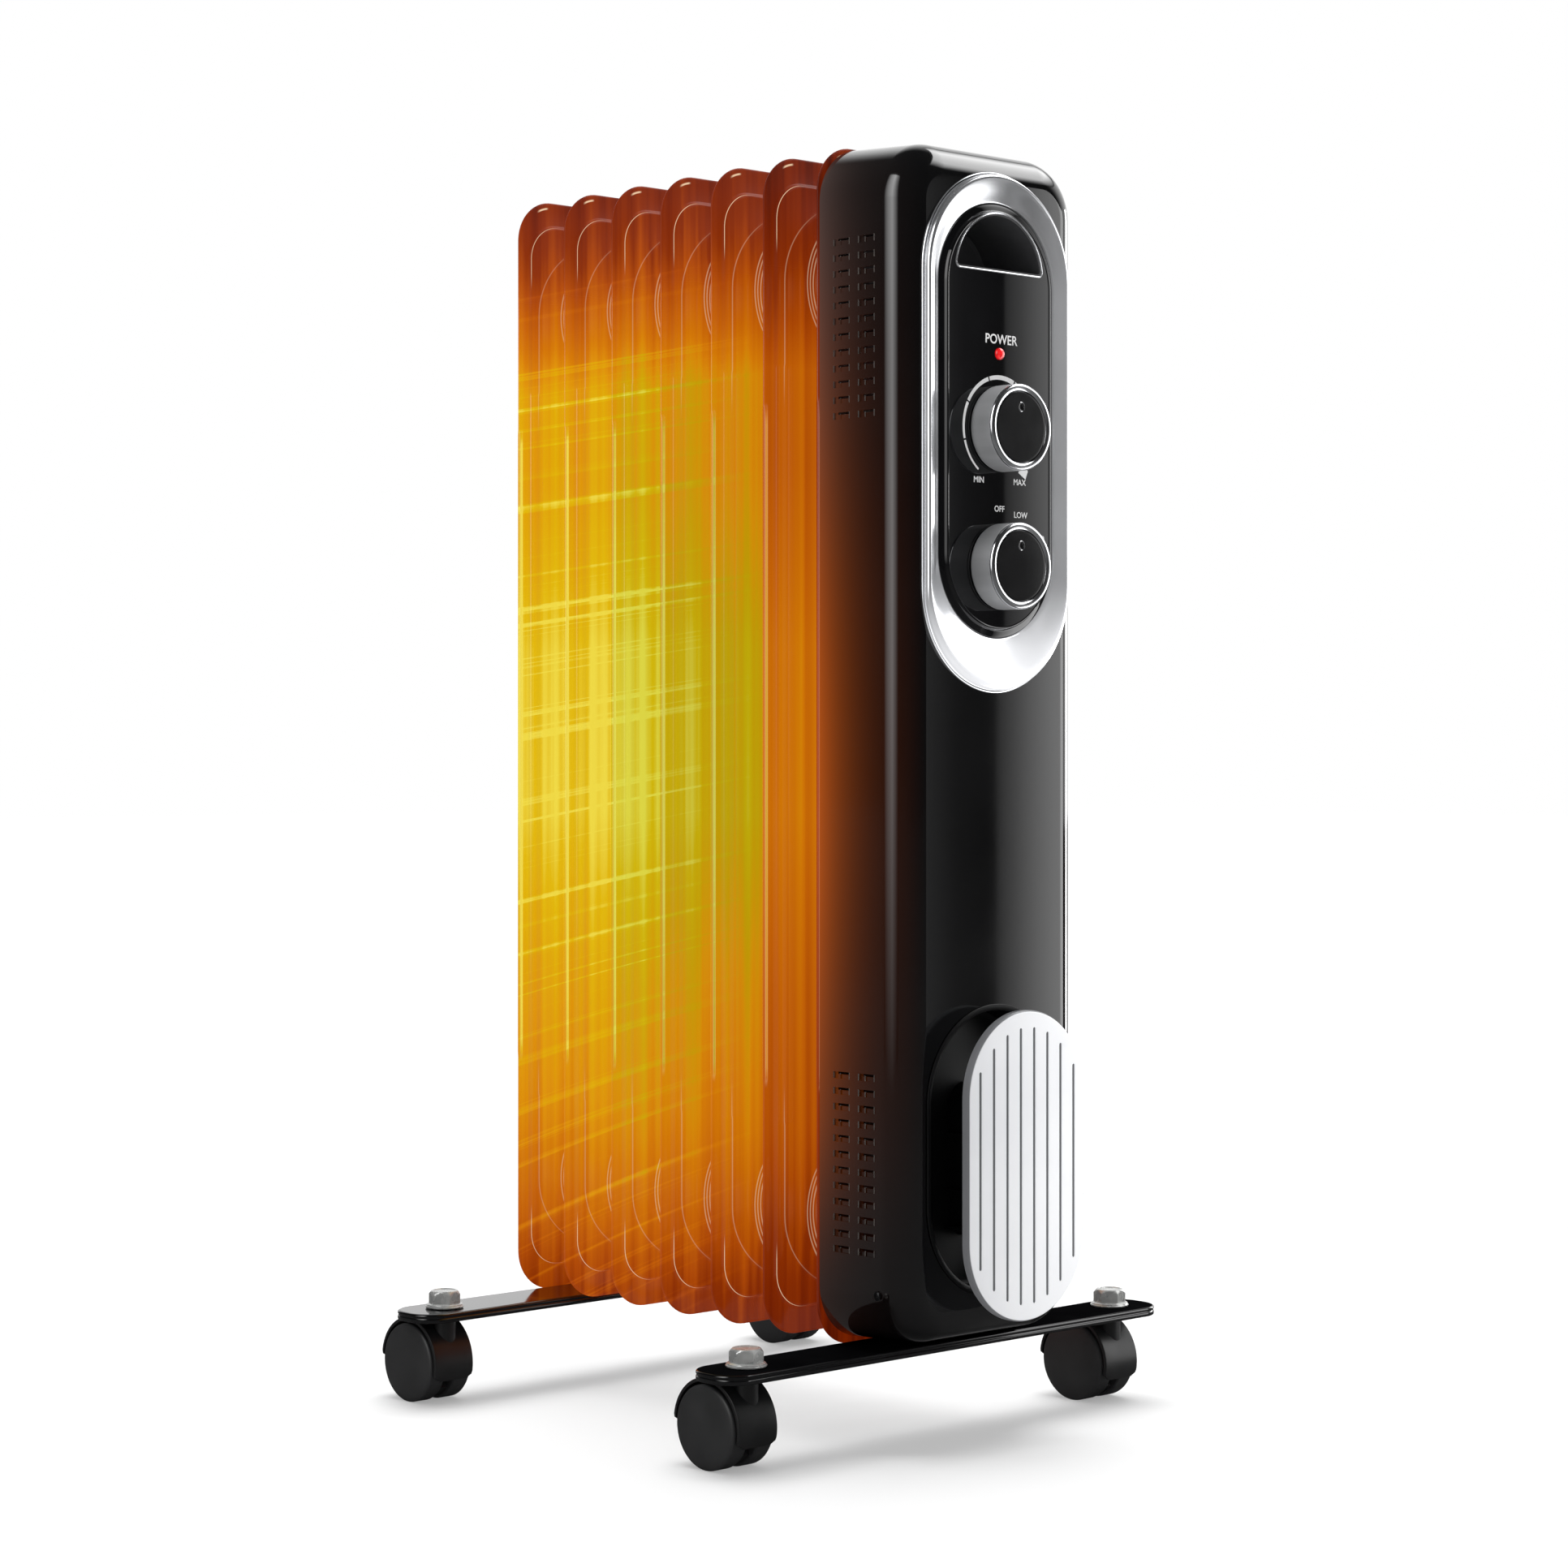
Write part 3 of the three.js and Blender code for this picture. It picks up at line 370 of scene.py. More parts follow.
def fin_enamel():
    """Glowing enamel: dark red at both ends, yellow in the middle, redder near the cover, with painted
    highlight lines along its hems and pressings.
    """
    paint = Paint("fin_enamel_glow")
    x, y, z = paint.axes()
    across = paint.size(x)
    depth = paint.remap(y, (-0.088, 0.12))
    half_pitch = FIN_PITCH / 2 * MM
    off = paint.size(paint.math("WRAP", paint.minus(y, FRONT_FIN_Y * MM), half_pitch, -half_pitch))
    hem = paint.times(paint.window(across, (0.0600, 0.0606), (0.0618, 0.0622)),
                      paint.window(z, (0.168, 0.180), (0.490, 0.502)))
    heat = paint.plus(fin_heat(paint, across, z, depth, off, hem),
                      paint.times(fin_streaks(paint, x, y, z), 0.42))
    colour = paint.ramp(heat, [
        (0.0, "4e1002"), (0.12, "7d2402"), (0.24, "933203"), (0.36, "b84e06"), (0.48, "cf6808"),
        (0.60, "de8008"), (0.70, "e99a0b"), (0.80, "eaae08"), (0.90, "edc20c"), (1.0, "fbe44a"),
    ])
    tint = paint.ramp(depth, [
        (0.0, (1, 1, 1, 1)), (0.2, (0.90, 1.0, 1, 1)), (0.37, (0.68, 0.86, 1, 1)), (0.55, (0.74, 0.86, 1, 1)),
        (0.73, (0.84, 0.98, 1, 1)), (0.91, (1, 1, 1, 1)),
    ])
    colour = paint.mix(paint.ease(heat, (0.60, 0.86)), colour, tint, "MULTIPLY")
    # painted highlight: a bright line along each fin's hem, stronger on the front fins
    edge = paint.times(hem, paint.remap(off, (0.0009, 0.0013), (1, 0)),
                       paint.remap(depth, (0.0, 0.9), (0.75, 0.25)))
    # painted highlights: these lines mix the glow towards a light yellow-white
    bright = paint.math("MINIMUM", paint.plus(edge, fin_painted_highlights(paint, x, across, z, depth, off)), 0.95)
    colour = paint.mix(bright, colour, paint.ramp(heat, [(0.35, "ffd9b0"), (0.8, "fff0a8")]))
    top = paint.ease(z, (0.560, 0.575))
    rough = paint.plus(paint.remap(paint.noise(25), (0.3, 0.7), (0.10, 0.16)), paint.times(top, 0.25))
    unlit = paint.mix(1.0, colour, colour_of(0.24), "MULTIPLY")
    paint.set(base_color=unlit, emission_color=colour, emission_strength=0.72, roughness=rough,
              specular=paint.remap(top, (0, 1), (0.5, 0.15)),
              coat_weight=paint.remap(top, (0, 1), (0.3, 0.0)), coat_roughness=0.04)
    paint.bump(paint.noise(160, 3), 0.03, 0.0004)
    return paint.material


def cover_paint():
    """Black gloss with a painted orange glow from the fins on the walls beside them, and a painted grey sheen
    towards the walls' tops.
    """
    paint = Paint("cover_paint_black")
    x, y, z = paint.axes()
    paint.mottle(18, 4, "050506", "0a0a0b", (0.06, 0.09))
    # painted light: an orange glow by each wall's rear edge, strongest at mid height
    near = paint.math("EXPONENT", paint.math("DIVIDE", paint.plus(y, 0.08475), 0.0155))
    offset = paint.math("DIVIDE", paint.minus(z, 0.318), 0.125)
    tall = paint.math("EXPONENT", paint.times(offset, offset, -0.5))
    side = paint.ease(paint.size(x), (0.045, 0.060))
    glow = paint.times(near, tall, paint.ease(z, (0.06, 0.16), (0.25, 1)), side)
    painted_fin_glow = paint.ramp(glow, [(0.0, 0), (0.25, (0.10, 0.018, 0.0, 1)), (1.0, (0.40, 0.070, 0.0, 1))])
    # painted sheen: a faint grey by each wall's rear edge, rising towards the top
    painted_grey_sheen = paint.times(side, near, paint.ease(z, (0.38, 0.60), (0.005, 0.035)))
    paint.set(emission_color=paint.mix(1.0, painted_fin_glow, painted_grey_sheen, "ADD"), emission_strength=1.0, coat_weight=0.5,
              coat_roughness=0.04)
    paint.bump(paint.noise(120, 3), 0.02, 0.0003)
    return paint.material


def chrome(name, rough):
    return finish(name, "dcdde0", "eeeff2", rough, metal=1.0, grain=(260, 0.015, 0.0002))


def ring_chrome():
    """Chrome with a painted sheen: bright in its lower bow and towards the right, a little dimmer at the top.
    """
    paint = Paint("trim_chrome_polished")
    x, y, z = paint.axes()
    cloud = paint.mottle(30, 3, "d8d9dc", "ecedf0", (0.14, 0.20))
    # painted reflections: the chrome glows in its lower bow and on its right, less at its top
    low = paint.ease(z, (0.368, 0.418), (0.82, 0.10))
    high = paint.ease(z, (0.53, 0.58), (0, -0.06))
    right = paint.ease(x, (0.020, 0.046), (0, 0.16))
    sheen = paint.times(paint.plus(low, high, right), paint.remap(cloud, (0.3, 0.7), (0.96, 1.04)))
    paint.set(metallic=0.92, emission_color=srgb("eeeff2"), emission_strength=sheen)
    paint.bump(paint.noise(260, 2), 0.015, 0.0002)
    return paint.material


def plate_satin():
    """Satin silver face, with painted shade in its grooves and on its side wall, and a painted glow that
    grows towards the right.
    """
    paint = Paint("plate_satin")
    x, y, z = paint.axes()
    cloud = paint.mottle(14, 3, "e6e7ea", "f2f3f5", (0.30, 0.38))
    face = paint.ramp(cloud, [(0.3, "e6e7ea"), (0.7, "f2f3f5")])
    # painted shade: everything behind the face, the grooves and the side wall, is darker
    shade = paint.mix(paint.ease(y, (-0.16262, -0.16225), (0, 0.92)), face, srgb("5c5d60"))
    # painted light: the colour glows, faintly on the left and more on the right
    paint.set(base_color=shade, metallic=0.15, emission_color=shade,
              emission_strength=paint.remap(x, (-0.04, 0.04), (0.08, 0.30)))
    paint.bump(paint.noise(1400, 2), 0.05, 0.0001)
    return paint.material


def bar_paint():
    """Gloss black; the front bar's top is duller than its sides and than the rear bar."""
    paint = Paint("bar_gloss_black")
    x, y, z = paint.axes()
    paint.mottle(35, 4, "060607", "0c0c0d", (0.07, 0.12))
    dull = paint.times(paint.ease(z, (0.0481, 0.0484)), paint.remap(y, (-0.01, 0.01), (1, 0)))
    paint.set(specular=paint.remap(dull, (0, 1), (0.7, 0.0)))
    paint.bump(paint.noise(120, 2), 0.02, 0.0003)
    return paint.material


def lamp_red():
    """A red lens that glows a little."""
    paint = Paint("lamp_red_lens")
    glint = paint.noise(900, 2)
    paint.set(base_color=paint.ramp(glint, [(0.3, "c40810"), (0.7, "ee2028")]),
              emission_color=paint.ramp(glint, [(0.3, "a80408"), (0.7, "ff3030")]),
              emission_strength=0.55, roughness=0.12, coat_weight=1.0)
    return paint.material


# ---- Mesh helpers, all in millimetres ----

def box_of(node):
    """The low and high corners of a node's box."""
    low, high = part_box(node)
    return [v / MM for v in low], [v / MM for v in high]


def middle_of(node):
    """The x and y of a node's middle."""
    low, high = box_of(node)
    return (low[0] + high[0]) / 2, (low[1] + high[1]) / 2


def corners():
    """The four corners: which end, which hand, and both as one word."""
    return [(end, hand, f"{end}_{hand}") for end in ENDS for hand in HANDS]


def solid_mesh(name, verts, faces):
    mesh = bpy.data.meshes.new(name)
    mesh.from_pydata([(a * MM, b * MM, c * MM) for a, b, c in verts], [], faces)
    mesh.validate()
    work = bmesh.new()
    work.from_mesh(mesh)
    bmesh.ops.remove_doubles(work, verts=work.verts, dist=1e-7)
    bmesh.ops.recalc_face_normals(work, faces=work.faces)
    work.to_mesh(mesh)
    work.free()
    return mesh


def add_piece(name, shape, material, nodes=(), sharp=32, prepare=None, body="heater", level=True):
    """Makes one visible piece; sharp is the angle of a hard edge, prepare cuts it first."""
    mesh = solid_mesh(name, *shape)
    mesh.materials.append(material)
    piece = bpy.data.objects.new(name, mesh)
    bpy.context.collection.objects.link(piece)
    if prepare:
        prepare(piece)
    piece.data.shade_smooth()
    piece.data.set_sharp_from_angle(angle=math.radians(sharp))
    if level:
        # large flat faces keep their own normals
        modifier = piece.modifiers.new("level", "WEIGHTED_NORMAL")
        modifier.keep_sharp = True
        modifier.weight = 100
        settle(piece)
    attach(piece, body)
    if nodes:
        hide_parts(*nodes)
    return piece


def settle(piece):
    """Applies the piece's modifiers."""
    graph = bpy.context.evaluated_depsgraph_get()
    done = bpy.data.meshes.new_from_object(piece.evaluated_get(graph))
    old = piece.data
    piece.modifiers.clear()
    piece.data = done
    bpy.data.meshes.remove(old)


def cut(piece, *shapes):
    """Takes closed solids that don't touch each other away from the piece."""
    mesh = solid_mesh("cutter", *join(*shapes))
    cutter = bpy.data.objects.new("cutter", mesh)
    bpy.context.collection.objects.link(cutter)
    modifier = piece.modifiers.new("cut", "BOOLEAN")
    modifier.operation = "DIFFERENCE"
    modifier.solver = "EXACT"
    modifier.use_self = False
    modifier.object = cutter
    settle(piece)
    bpy.data.objects.remove(cutter)
    bpy.data.meshes.remove(mesh)


def loft(rings, caps=True, wrap=False):
    """Quads between rings of equal length; caps closes the ends, wrap joins last to first."""
    size = len(rings[0])
    verts = [point for ring in rings for point in ring]
    faces = []
    for k in range(len(rings) - (0 if wrap else 1)):
        low, high = k * size, ((k + 1) % len(rings)) * size
        for i in range(size):
            j = (i + 1) % size
            faces.append((low + i, low + j, high + j, high + i))
    if caps and not wrap:
        faces.append(tuple(range(size)))
        faces.append(tuple(range((len(rings) - 1) * size, len(rings) * size)))
    return verts, faces


def cup(first, second):
    """Two skins joined at their open rims; the rings where they meet inside are each closed."""
    verts, faces = join(loft(first, caps=False), loft(second, caps=False))
    size = len(first[0])
    near, last = (len(first) - 1) * size, len(verts) - size
    faces += [tuple(range(near, near + size)), tuple(range(near + size, near + 2 * size))]
    faces += [(i, (i + 1) % size, last + (i + 1) % size, last + i) for i in range(size)]
    return verts, faces


def join(*parts):
    verts, faces = [], []
    for part_verts, part_faces in parts:
        start = len(verts)
        verts += part_verts
        faces += [tuple(start + i for i in face) for face in part_faces]
    return verts, faces


def arc(middle, radius, start, stop, steps):
    """Points along an arc, its angles in degrees."""
    angles = [math.radians(start + (stop - start) * i / steps) for i in range(steps + 1)]
    return [(middle[0] + radius * math.cos(a), middle[1] + radius * math.sin(a)) for a in angles]


def rounded_rectangle(half_width, low, high, radius, steps):
    right, top, bottom = half_width - radius, high - radius, low + radius
    points = []
    for quarter, middle in enumerate(((right, top), (-right, top), (-right, bottom), (right, bottom))):
        points += arc(middle, radius, 90 * quarter, 90 * quarter + 90, steps)
    return points


def oval(half_width, low, high, steps=40):
    return (arc((0, high - half_width), half_width, 0, 180, steps)
            + arc((0, low + half_width), half_width, 180, 360, steps))


def circle(middle, radius, sides):
    return arc(middle, radius, 0, 360, sides)[:-1]


def at_y(points, y):
    return [(a, y, b) for a, b in points]


def at_x(points, x):
    return [(x, a, b) for a, b in points]


def at_z(points, z):
    return [(a, b, z) for a, b in points]


def block(x0, x1, y0, y1, z0, z1):
    return loft([at_z([(x0, y0), (x1, y0), (x1, y1), (x0, y1)], z) for z in (z0, z1)])


def turned(lay, middle, steps, sides=64, wrap=False):
    """A turned solid; lay is at_x, at_y or at_z, and steps are places along it with radii."""
    return loft([lay(circle(middle, radius, sides), along) for along, radius in steps], wrap=wrap)


def tube(path, radius, sides=12, closed=False):
    """A round tube along points in space."""
    rings = []
    count = len(path)
    side = None
    for i, point in enumerate(path):
        before = Vector(path[(i - 1) % count] if closed or i else path[0])
        after = Vector(path[(i + 1) % count] if closed or i < count - 1 else path[-1])
        ahead = (after - before).normalized()
        if side is None:
            side = ahead.orthogonal().normalized()
        side = (side - ahead * side.dot(ahead)).normalized()
        other = ahead.cross(side)
        rings.append([tuple(Vector(point) + side * radius * math.cos(a) + other * radius * math.sin(a))
                      for a in (2 * math.pi * k / sides for k in range(sides))])
    return loft(rings, wrap=closed)


# ---- Fins ----

FIN_HALF = 62.5
FIN_LOW = 47.0
FIN_HIGH = 622.5
NECK_RADIUS = 17.0
NECK_HEIGHT = 14.5
NECK_REACH = 18.85
BOSS_RADIUS = 33.5

# (curve, millimetres inward, height, bead in the straight part)
FIN_RINGS = [
    ("rim", 0.0, 0.0, 0.0), ("rim", 0.15, 0.42, 0.15), ("rim", 0.5, 0.62, 0.45), ("rim", 1.1, 0.66, 0.62),
    ("rim", 1.8, 0.66, 0.50), ("rim", 2.4, 0.66, 0.08), ("rim", 3.2, 0.66, 0.0),
    ("inset", -1.5, 0.70, 0.0), ("inset", -0.8, 0.85, 0.05), ("inset", -0.1, 1.55, 0.35),
    ("inset", 0.5, 2.25, 0.60), ("inset", 1.1, 2.45, 0.30), ("inset", 1.7, 2.45, 0.0),
    ("outer", -0.9, 2.50, 0.0), ("outer", -0.2, 2.80, 0.25), ("outer", 0.5, 3.50, 0.60),
    ("outer", 1.2, 3.85, 0.35), ("outer", 2.0, 3.90, 0.0),
    ("inner", -2.4, 3.92, 0.0), ("inner", -1.4, 3.98, 0.0), ("inner", -0.6, 4.20, 0.0),
    ("inner", 0.2, 4.75, 0.0), ("inner", 0.9, 4.97, 0.0), ("inner", 1.7, 5.0, 0.0),
]
FIN_CORE = (0.93, 0.86, 0.79, 0.72, 0.65, 0.59, 0.53, 0.485, 0.45, 0.3, 0.15)


def rounded_reach(cosine, sine, half_width, top, corner):
    """How far a ray from a header's middle goes before it meets a rounded rectangle."""
    c, s = abs(cosine), sine
    if c > 1e-9 and half_width * s / c <= top - corner:
        return half_width / c
    if s > 1e-9 and top * c / s <= half_width - corner:
        return top / s
    p, q = half_width - corner, top - corner
    along = p * c + q * s
    return along + math.sqrt(max(along * along - (p * p + q * q - corner * corner), 0))


def ellipse_reach(cosine, sine, across, up):
    return 1 / math.sqrt((cosine / across) ** 2 + (sine / up) ** 2)


def fin_spokes():
    """Lines outward from the fin's spine, all the way round, with each curve's distance."""
    spokes = []
    angles = [0, 4, 8, 12, 16, 20, 24, 27]
    angles += [29 + 1.75 * i for i in range(19)]
    angles += [63, 67, 71, 75, 79, 83, 87, 90]
    angles += [180 - a for a in reversed(angles[:-1])]
    low, high = HEADERS_Z
    rows = {low + 3 * i for i in range(1, 13)} | {high - 3 * i for i in range(1, 13)}
    for edge in (151, 172, 500, 520):
        rows |= {edge - 1.6, edge - 0.5, edge + 0.5, edge + 1.6}
    rows |= {190 + 28.5 * i for i in range(11)}
    rows = sorted(rows)

    def straight(side, z):
        return (z, side, 0.0, {"rim": FIN_HALF, "inset": 55.5, "outer": 51.5, "inner": 40.0})

    def turning(middle, sign, top, degrees):
        c, s = math.cos(math.radians(degrees)), math.sin(math.radians(degrees))
        return (middle, c, sign * s, {
            "rim": rounded_reach(c, s, FIN_HALF, top, 22),
            "inset": rounded_reach(c, s, 55.5, top - 13, 18),
            "outer": ellipse_reach(c, s, 51.5, top - 18),
            "inner": ellipse_reach(c, s, 40.0, top - 24),
        })

    spokes += [straight(1, z) for z in rows]
    spokes += [turning(high, 1, FIN_HIGH - high, a) for a in angles]
    spokes += [straight(-1, z) for z in reversed(rows)]
    spokes += [turning(low, -1, low - FIN_LOW, 180 - a) for a in angles]
    return spokes, rows, len(angles)


def smooth_step(value, low=0.0, high=1.0):
    t = min(max((value - low) / (high - low), 0.0), 1.0)
    return t * t * (3 - 2 * t)


def boss_height(x, z, capped):
    """Height of the round header swellings; capped lists headers that end in a dome."""
    best = 5.0
    for header in HEADERS_Z:
        distance = math.hypot(x, z - header)
        rise, inner = (4.0, 14.0) if header in capped else (NECK_HEIGHT - 5, NECK_RADIUS)
        if distance < BOSS_RADIUS:
            t = min((BOSS_RADIUS - distance) / (BOSS_RADIUS - inner), 1.0)
            curve = smooth_step(t) if header in capped else 0.30 * t + 0.70 * t * t
            best = 5.0 + rise * curve
    return best


def fin_side(spokes, rows, bent, plane, side, capped):
    """One pressed sheet: side is -1 for the front and +1 for the back; bent spokes are at each end."""
    count = len(spokes)
    verts, faces = [], []
    for curve, inward, height, bead in FIN_RINGS:
        for middle, c, s, reach in spokes:
            radius = reach[curve] - inward
            x, z = radius * c, middle + radius * s
            low, high = (172, 500) if curve == "rim" else (151, 520)
            ridge = bead * smooth_step(z, low - 1.2, low + 1.2) * smooth_step(-z, -high - 1.2, -high + 1.2)
            verts.append((x, plane + side * (height + ridge), z))
    for part in FIN_CORE:
        for middle, c, s, reach in spokes:
            radius = (reach["inner"] - 1.7) * part
            x, z = radius * c, middle + radius * s
            verts.append((x, plane + side * boss_height(x, z, capped), z))
    rings = len(FIN_RINGS) + len(FIN_CORE)
    for k in range(rings - 1):
        for i in range(count):
            j = (i + 1) % count
            faces.append((k * count + i, k * count + j, (k + 1) * count + j, (k + 1) * count + i))
    last = (rings - 1) * count
    middles = {}
    for header in HEADERS_Z:
        middles[header] = len(verts)
        verts.append((0, plane + side * boss_height(0, header, capped), header))
    straight = len(rows)
    top, left, low = last + straight, last + straight + bent, last + 2 * straight + bent
    for start, header in ((top, HEADERS_Z[1]), (low, HEADERS_Z[0])):
        for i in range(bent - 1):
            faces.append((start + i, start + i + 1, middles[header]))
    for i in range(straight - 1):
        faces.append((last + i, last + i + 1, left + straight - 2 - i, left + straight - 1 - i))
    faces.append((top - 1, top, middles[HEADERS_Z[1]], left - 1, left))
    faces.append((last, low - 1, low, middles[HEADERS_Z[0]], last + count - 1))
    return verts, faces


def neck_tube(plane, side, header, reach):
    steps = [(NECK_HEIGHT - 1.5, NECK_RADIUS), (reach - 0.5, NECK_RADIUS), (reach - 0.15, NECK_RADIUS + 0.35),
             (reach, NECK_RADIUS - 0.2)]
    return turned(at_y, (0, header), [(plane + side * out, radius) for out, radius in steps], 48)


def build_fins():
    """Seven fins whose glow isn't cast on the floor."""
    material = fin_enamel()
    spokes, rows, count = fin_spokes()
    for index in range(1, FIN_COUNT + 1):
        front_y = box_of(f"fin_{index}")[0][1]
        plane = FRONT_FIN_Y + (FIN_COUNT - index) * FIN_PITCH
        domes = {-1: HEADERS_Z[1:] if index == FIN_COUNT else (), 1: HEADERS_Z if index == 1 else ()}
        parts = [fin_side(spokes, rows, count, plane, side, domes[side]) for side in SIDES]
        for side in SIDES:
            reach = plane - front_y if index == FIN_COUNT and side < 0 else NECK_REACH
            for header in HEADERS_Z:
                if header not in domes[side]:
                    parts.append(neck_tube(plane, side, header, reach))
        fin = add_piece(f"fin_sheets_{index}", join(*parts), material, [f"fin_{index}"],
                        sharp=75, level=False)
        fin.visible_diffuse = False


# ---- Cover ----

COVER_MID_Z = 336.1
COVER_BACK_Y = -84.75
COVER_FRONT_Y = -141.0
COVER_FILLET = 15.0
COVER_WALL = 1.6
RECESS = (44.8, 73.4, 210.1)
PANEL_HOLE = (36.5, 389.5, 590.5)
# front, back, low, high and depth of the cuts that make one vent
VENT_CUTS = ((-5.5, 0.5, -1.7, 0.4, 0.85), (1.1, 3.5, -1.7, 0.4, 0.85), (-5.5, 3.5, 0.45, 1.7, 4),
             (3.55, 5.5, -1.7, 1.7, 4))
SCREW = (-124, 76.5)


def cover_ring(y, inset):
    part = (COVER_BACK_Y - y) / (COVER_BACK_Y - COVER_FRONT_Y)
    half_width = 62.2 - part - inset
    half_height = 286.2 - 3 * part - inset
    low, high = COVER_MID_Z - half_height, COVER_MID_Z + half_height
    return at_y(rounded_rectangle(half_width, low, high, 28 - inset, 16), y)


def cover_skin(inset, steps):
    front = COVER_FRONT_Y + inset
    fillet = COVER_FILLET - inset
    rings = []
    for y in (COVER_BACK_Y, COVER_BACK_Y - 0.35, COVER_BACK_Y - 1.2, -100, -113):
        soften = max(0.0, 0.5 - (COVER_BACK_Y - y) * 1.4) if inset == 0 else 0.0
        rings.append(cover_ring(y, inset + soften))
    for i in range(steps + 1):
        angle = math.pi / 2 * i / steps
        back, inward = fillet * (1 - math.sin(angle)), fillet * (1 - math.cos(angle))
        rings.append(cover_ring(front + back, inset + inward))
    return rings


def vent_places():
    """Two columns of twelve vents near the top and near the bottom of both walls."""
    for upper in SIDES:
        for row in range(12):
            z = COVER_MID_Z - 1.1 + upper * (156.5 + row * 7.5)
            for y in (-99.75, -116.55):
                for side in SIDES:
                    yield side, y, z


def side_block(side, near, far, rest):
    return block(*sorted((side * near, side * far)), *rest)


def build_cover():
    outside = cover_skin(0, 14)
    inside = cover_skin(COVER_WALL, 8)
    wide = (RECESS[0] + 0.4, RECESS[1] - 0.4, RECESS[2] + 0.4)

    def open_up(piece):
        holes = []
        for hole in (PANEL_HOLE, wide):
            holes.append(loft([at_y(oval(*hole), COVER_FRONT_Y + off) for off in (-5, 5)]))
        for side, y, z in vent_places():
            for y0, y1, z0, z1, depth in VENT_CUTS:
                holes.append(side_block(side, 62.1 - depth, 66, (y + y0, y + y1, z + z0, z + z1)))
        cut(piece, *holes)

    add_piece("cover_shell", loft(inside[::-1] + outside), cover_paint(), ["front_cover"], 28,
              open_up)

    # Lighter strips at each vent's ends and by its middle: painted highlights on the vent openings' edges.
    edges = []
    for side, y, z in vent_places():
        for y0, z0, z1 in ((-5.5, -1.6, 1.6), (0.5, -1.6, 0.9), (5.1, -1.6, 1.6)):
            edges.append(side_block(side, 61.2, 61.85, (y + y0, y + y0 + 0.42, z + z0, z + z1)))
    trim = finish("vent_edge_painted_highlight", "6a6562", "857d78", (0.3, 0.4), metal=0.6)
    add_piece("vent_highlight_strips", join(*edges), trim)

    zinc = finish("side_screw_zinc", "1c1c1d", "2b2b2c", (0.25, 0.35), metal=0.8)
    y, z = SCREW
    for side, hand in zip(SIDES, HANDS):
        steps = ((61.6, 2.2), (62.3, 2.2), (62.65, 1.9), (62.85, 1.3), (62.9, 0.8))
        head = turned(at_x, SCREW, [(side * x, radius) for x, radius in steps], 32)

        def cross(piece, side=side):
            for a, b in ((0.25, 1.2), (1.2, 0.25)):
                cut(piece, side_block(side, 62.4, 64, (y - a, y + a, z - b, z + b)))
        add_piece(f"side_screw_head_{hand}", head, zinc, [f"side_screw_{hand}"], 32, cross)


# ---- Ring, panel and handle ----

RING_OUTER = (48.5, 361.2, 607.6)
RING_INNER = (39.9, 386.0, 593.9)
RING_BASE = -141.3
PANEL_FACE_Y = -144.3
LAMP_Z = 521.9
DIALS_Z = {"thermostat": 486.0, "mode": 420.2}


def between(outer, inner, part, y):
    """Points part of the way from the inner oval to the outer one."""
    pairs = zip(oval(*outer, 64), oval(*inner, 64))
    return [(b[0] + (a[0] - b[0]) * part, y, b[1] + (a[1] - b[1]) * part) for a, b in pairs]


def build_ring():
    polished = ring_chrome()
    profile = [(0, 0), (0, 1.0), (0.015, 1.35), (0.06, 1.55), (0.15, 1.75), (0.28, 2.1), (0.42, 2.6),
               (0.56, 3.1), (0.70, 3.5), (0.82, 3.75), (0.90, 3.78), (0.955, 3.45), (0.985, 2.8),
               (1.0, 1.9), (1.0, 0)]
    rings = [between(RING_OUTER, RING_INNER, part, RING_BASE - rise) for part, rise in profile]
    add_piece("ring_dished", loft(rings, wrap=True), polished, ["trim_ring"], 50)
    half_width, low, high = RING_OUTER
    hairline = at_y(oval(half_width + 0.75, low - 0.75, high + 0.75, 64), RING_BASE - 0.05)
    add_piece("ring_hairline", tube(hairline, 0.32, 8, True), polished)
    return polished


def handle_outline(grow):
    """A half round hollow with a flat floor and small rounded floor corners."""
    radius, floor, corner = 30.1 + grow, 561 - grow, max(2.6 + grow, 0.6)
    middle = 558.8
    reach = math.sqrt((radius - corner) ** 2 - (floor + corner - middle) ** 2)
    end = math.atan2(floor + corner - middle, reach)
    points = arc((0, middle), radius, math.degrees(end), 180 - math.degrees(end), 48)
    for sign, start, stop in ((-1, 180 - math.degrees(end), 270), (1, 270, 360 + math.degrees(end))):
        points += arc((sign * reach, floor + corner), corner, start, stop, 8)[1:]
    return points


